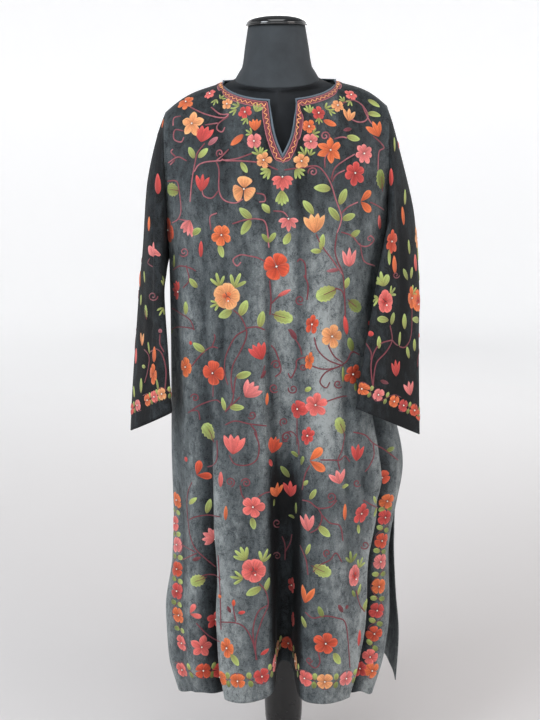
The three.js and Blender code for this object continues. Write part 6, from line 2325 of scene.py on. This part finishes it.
            if i + 1 < len(every) and every[i + 1][0] - s > 32 * scale:
                self.ovals(needle, self.stand(needle, run, line, inward, (s + every[i + 1][0]) / 2), scale)
        waves = np.array([s for s, _ in every])
        at = np.arange(max(waves[0] - 15, 0), min(waves[-1] + 15, run[-1]), 3.0)
        count = np.interp(at, waves, np.arange(len(waves)))
        wander = 17.0 * scale * np.cos(np.pi * count)
        places = []
        for s, w in zip(at, wander):
            stand = self.stand(needle, run, line, inward, s)
            places.append(np.array([stand.u, stand.v]) + stand.turn @ np.array([0.0, w]))
        needle.cord(np.array(places), Thread.MAROON, 1.6, height=0.5)

    def stand(
        self, needle: Needlework, run: np.ndarray, line: np.ndarray, inward: np.ndarray, s: float
    ) -> Anchor:
        """Set an anchor on a border at a length along it, with its up across the border."""
        cloth = needle.cloth
        u, v = float(np.interp(s, run, line[:, 0])), float(np.interp(s, run, line[:, 1]))
        up = np.array([np.interp(s, run, inward[:, k]) for k in range(3)])
        normal = cloth.read(cloth.normals, np.array(u), np.array(v))
        return needle.anchor(u, v, np.cross(up, normal), up)

    def ovals(self, needle: Needlework, at: Anchor, scale: float) -> None:
        """Work two green ovals side by side across a border."""
        for rise, thread in ((-17.5, Thread.OLIVE), (0.8, Thread.GREEN)):
            foot = needle.shifted(at, 0, rise * scale)
            needle.petal(foot, 0, 0.0, 16.5 * scale, 11.0 * scale, Outline.OVAL, thread, height=0.8)

    def borders(self) -> None:
        """Work the borders of the hems, the slits and the cuffs."""
        shown = tuple(blooms(table) for table in (LEFT_SLIT_FLOWERS, RIGHT_SLIT_FLOWERS, HEM_FLOWERS))
        sides = {"front": shown, "back": ((), (), ())}
        for name, (left, right, hem) in sides.items():
            cloth = self.cloths[name]
            last, bottom = cloth.columns - 1, cloth.rows - 1
            rows = np.linspace(self.slit_row(cloth), bottom - 13, 90)
            for column, known in ((0, left), (last, right)):
                edge = np.stack([np.full(len(rows), float(column)), rows], axis=-1)
                line, inward = self.path(name, edge, self.slit_distance, smooth=4)
                if known:
                    line = self.through(name, line, known)
                self.border(name, line, inward, known)
            columns = np.linspace(0, last, 400)
            edge = np.stack([columns, np.full(len(columns), float(bottom))], axis=-1)
            line, inward = self.path(name, edge, self.hem_distance, smooth=2)
            keep = (line[:, 0] > 2.5) & (line[:, 0] < last - 2.5)
            self.border(name, line[keep], inward[keep], hem)
        cuffs = (("sleeve_left", blooms(LEFT_CUFF_FLOWERS)), ("sleeve_right", blooms(RIGHT_CUFF_FLOWERS)))
        for name, known in cuffs:
            cloth = self.cloths[name]
            columns = np.linspace(0, cloth.columns, 240)
            edge = np.stack([columns, np.full(len(columns), cloth.rows - 1.0)], axis=-1)
            line, inward = self.path(name, edge, self.cuff_distance, smooth=2)
            line[:, 0] = np.unwrap(line[:, 0], period=cloth.columns)
            self.border(name, line, inward, known, scale=0.74)

    def through(self, name: str, line: np.ndarray, known: Iterable[tuple]) -> np.ndarray:
        """Move a lengthwise line sideways, so that it runs through the flowers that the photograph shows."""
        seen = [found[1:] for found in (self.hit(x, y) for x, y, _ in known) if found and found[0] == name]
        if len(seen) < 2:
            return line
        seen = np.array(sorted(seen, key=lambda place: place[1]))
        aside = seen[:, 0] - np.interp(seen[:, 1], line[:, 1], line[:, 0])
        return line + np.stack([np.interp(line[:, 1], seen[:, 1], aside), np.zeros(len(line))], axis=-1)

    def slit_row(self, cloth: Cloth) -> float:
        """Find the row where a side slit's border starts."""
        heights = cloth.points[:, 0, 2] / MM
        return float(np.argmin(np.abs(heights - (SLIT_TOP + 35))))

    def neck(self) -> None:
        """Work the neck edge's maroon band, its zigzag and its two edge lines."""
        for name, form in (("front", FRONT), ("back", BACK)):
            cloth, needle = self.cloths[name], self.work[name, "borders"]
            shares, turns = form.shares(self.gown.finer), form.corners()
            inside = np.nonzero((shares >= turns[1] - 1e-9) & (shares <= turns[-2] + 1e-9))[0]
            columns = np.linspace(inside[0], inside[-1], 520)
            edge = np.stack([columns, np.zeros(len(columns))], axis=-1)
            lines = [self.path(name, edge, d, smooth=10)[0] for d in (1.2, 3.2, 6.0, 8.8, 11.6, 13.4)]
            grid = np.stack(lines, axis=1)
            relief = np.array([-0.2, 0.5, 0.62, 0.62, 0.5, -0.2])[None, :] * np.ones((len(columns), 1))
            points = cloth.read(cloth.points, lines[2][:, 0], lines[2][:, 1])
            run = np.concatenate([[0], np.cumsum(np.linalg.norm(np.diff(points, axis=0), axis=1))]) / MM
            # Painted light along the band's links, lighter and darker by turns
            link_light = 1 + 0.18 * np.sin(run * 1.9)[:, None] * np.ones((1, 6))
            tint = needle.tint(Thread.MAROON, 1.05) * link_light[..., None]
            across = np.array([0.0, 2.3, 4.7, 7.1, 9.5, 11.1])[None, :]
            rows = np.stack(np.broadcast_arrays(run[:, None], across), -1)
            needle.lay(grid, relief, np.clip(tint, 0, 1), rows)
            sway = np.arcsin(np.sin(2 * np.pi * run / 10.5)) / (np.pi / 2)
            zigzag = mix(mix(lines[1], lines[2], 0.55), lines[4], (0.5 + 0.5 * sway)[:, None] * 0.9)
            fine = np.interp(np.arange(0, run[-1], 1.2), run, np.arange(len(run)))
            for target, thread, width, lift in (
                (zigzag, Thread.PEACH, 1.9, 1.2),
                (mix(lines[0], lines[1], 0.5), Thread.ROSE, 1.7, 1.0),
                (mix(lines[4], lines[5], 0.5), Thread.ROSE, 1.7, 0.9),
            ):
                u = np.interp(fine, np.arange(len(run)), target[:, 0])
                v = np.interp(fine, np.arange(len(run)), target[:, 1])
                needle.cord(np.stack([u, v], axis=-1), thread, width, height=lift)

    def build(self, finishes: Finishes) -> None:
        """Work every motif, stem and border and make the meshes."""
        needle = self.work["front", "flowers"]
        needle.search = self.trees["front"]
        self.sew(Motif.read(NECK_MOTIFS), far_side=False)
        needle.search = None
        for table in (FRONT_MOTIFS, LEFT_SLEEVE_MOTIFS, RIGHT_SLEEVE_MOTIFS):
            self.sew(Motif.read(table), far_side=True)
        for row in rows_of(STEMS):
            stem = [(float(x), float(y)) for x, y in (place.split(",") for place in row)]
            self.run_stem(catmull_rom(stem, 7))
        for row in rows_of(CURLS):
            self.curl(*map(float, row))
        self.borders()
        self.neck()
        for (name, part), needle in self.work.items():
            if needle.count:
                needle.finish(f"{name}_{part}", finishes)


def main() -> None:
    """Build the studio, the form, the stand and the gown, and report each."""
    logging.basicConfig(level=logging.INFO, format="%(name)s: %(message)s")
    finishes = Finishes()
    Studio().build(finishes)
    DressForm().build(finishes)
    Stand().build(finishes)
    gown = Gown()
    gown.build(finishes)
    Embroidery(gown).build(finishes)


if __name__ == "__main__":
    main()
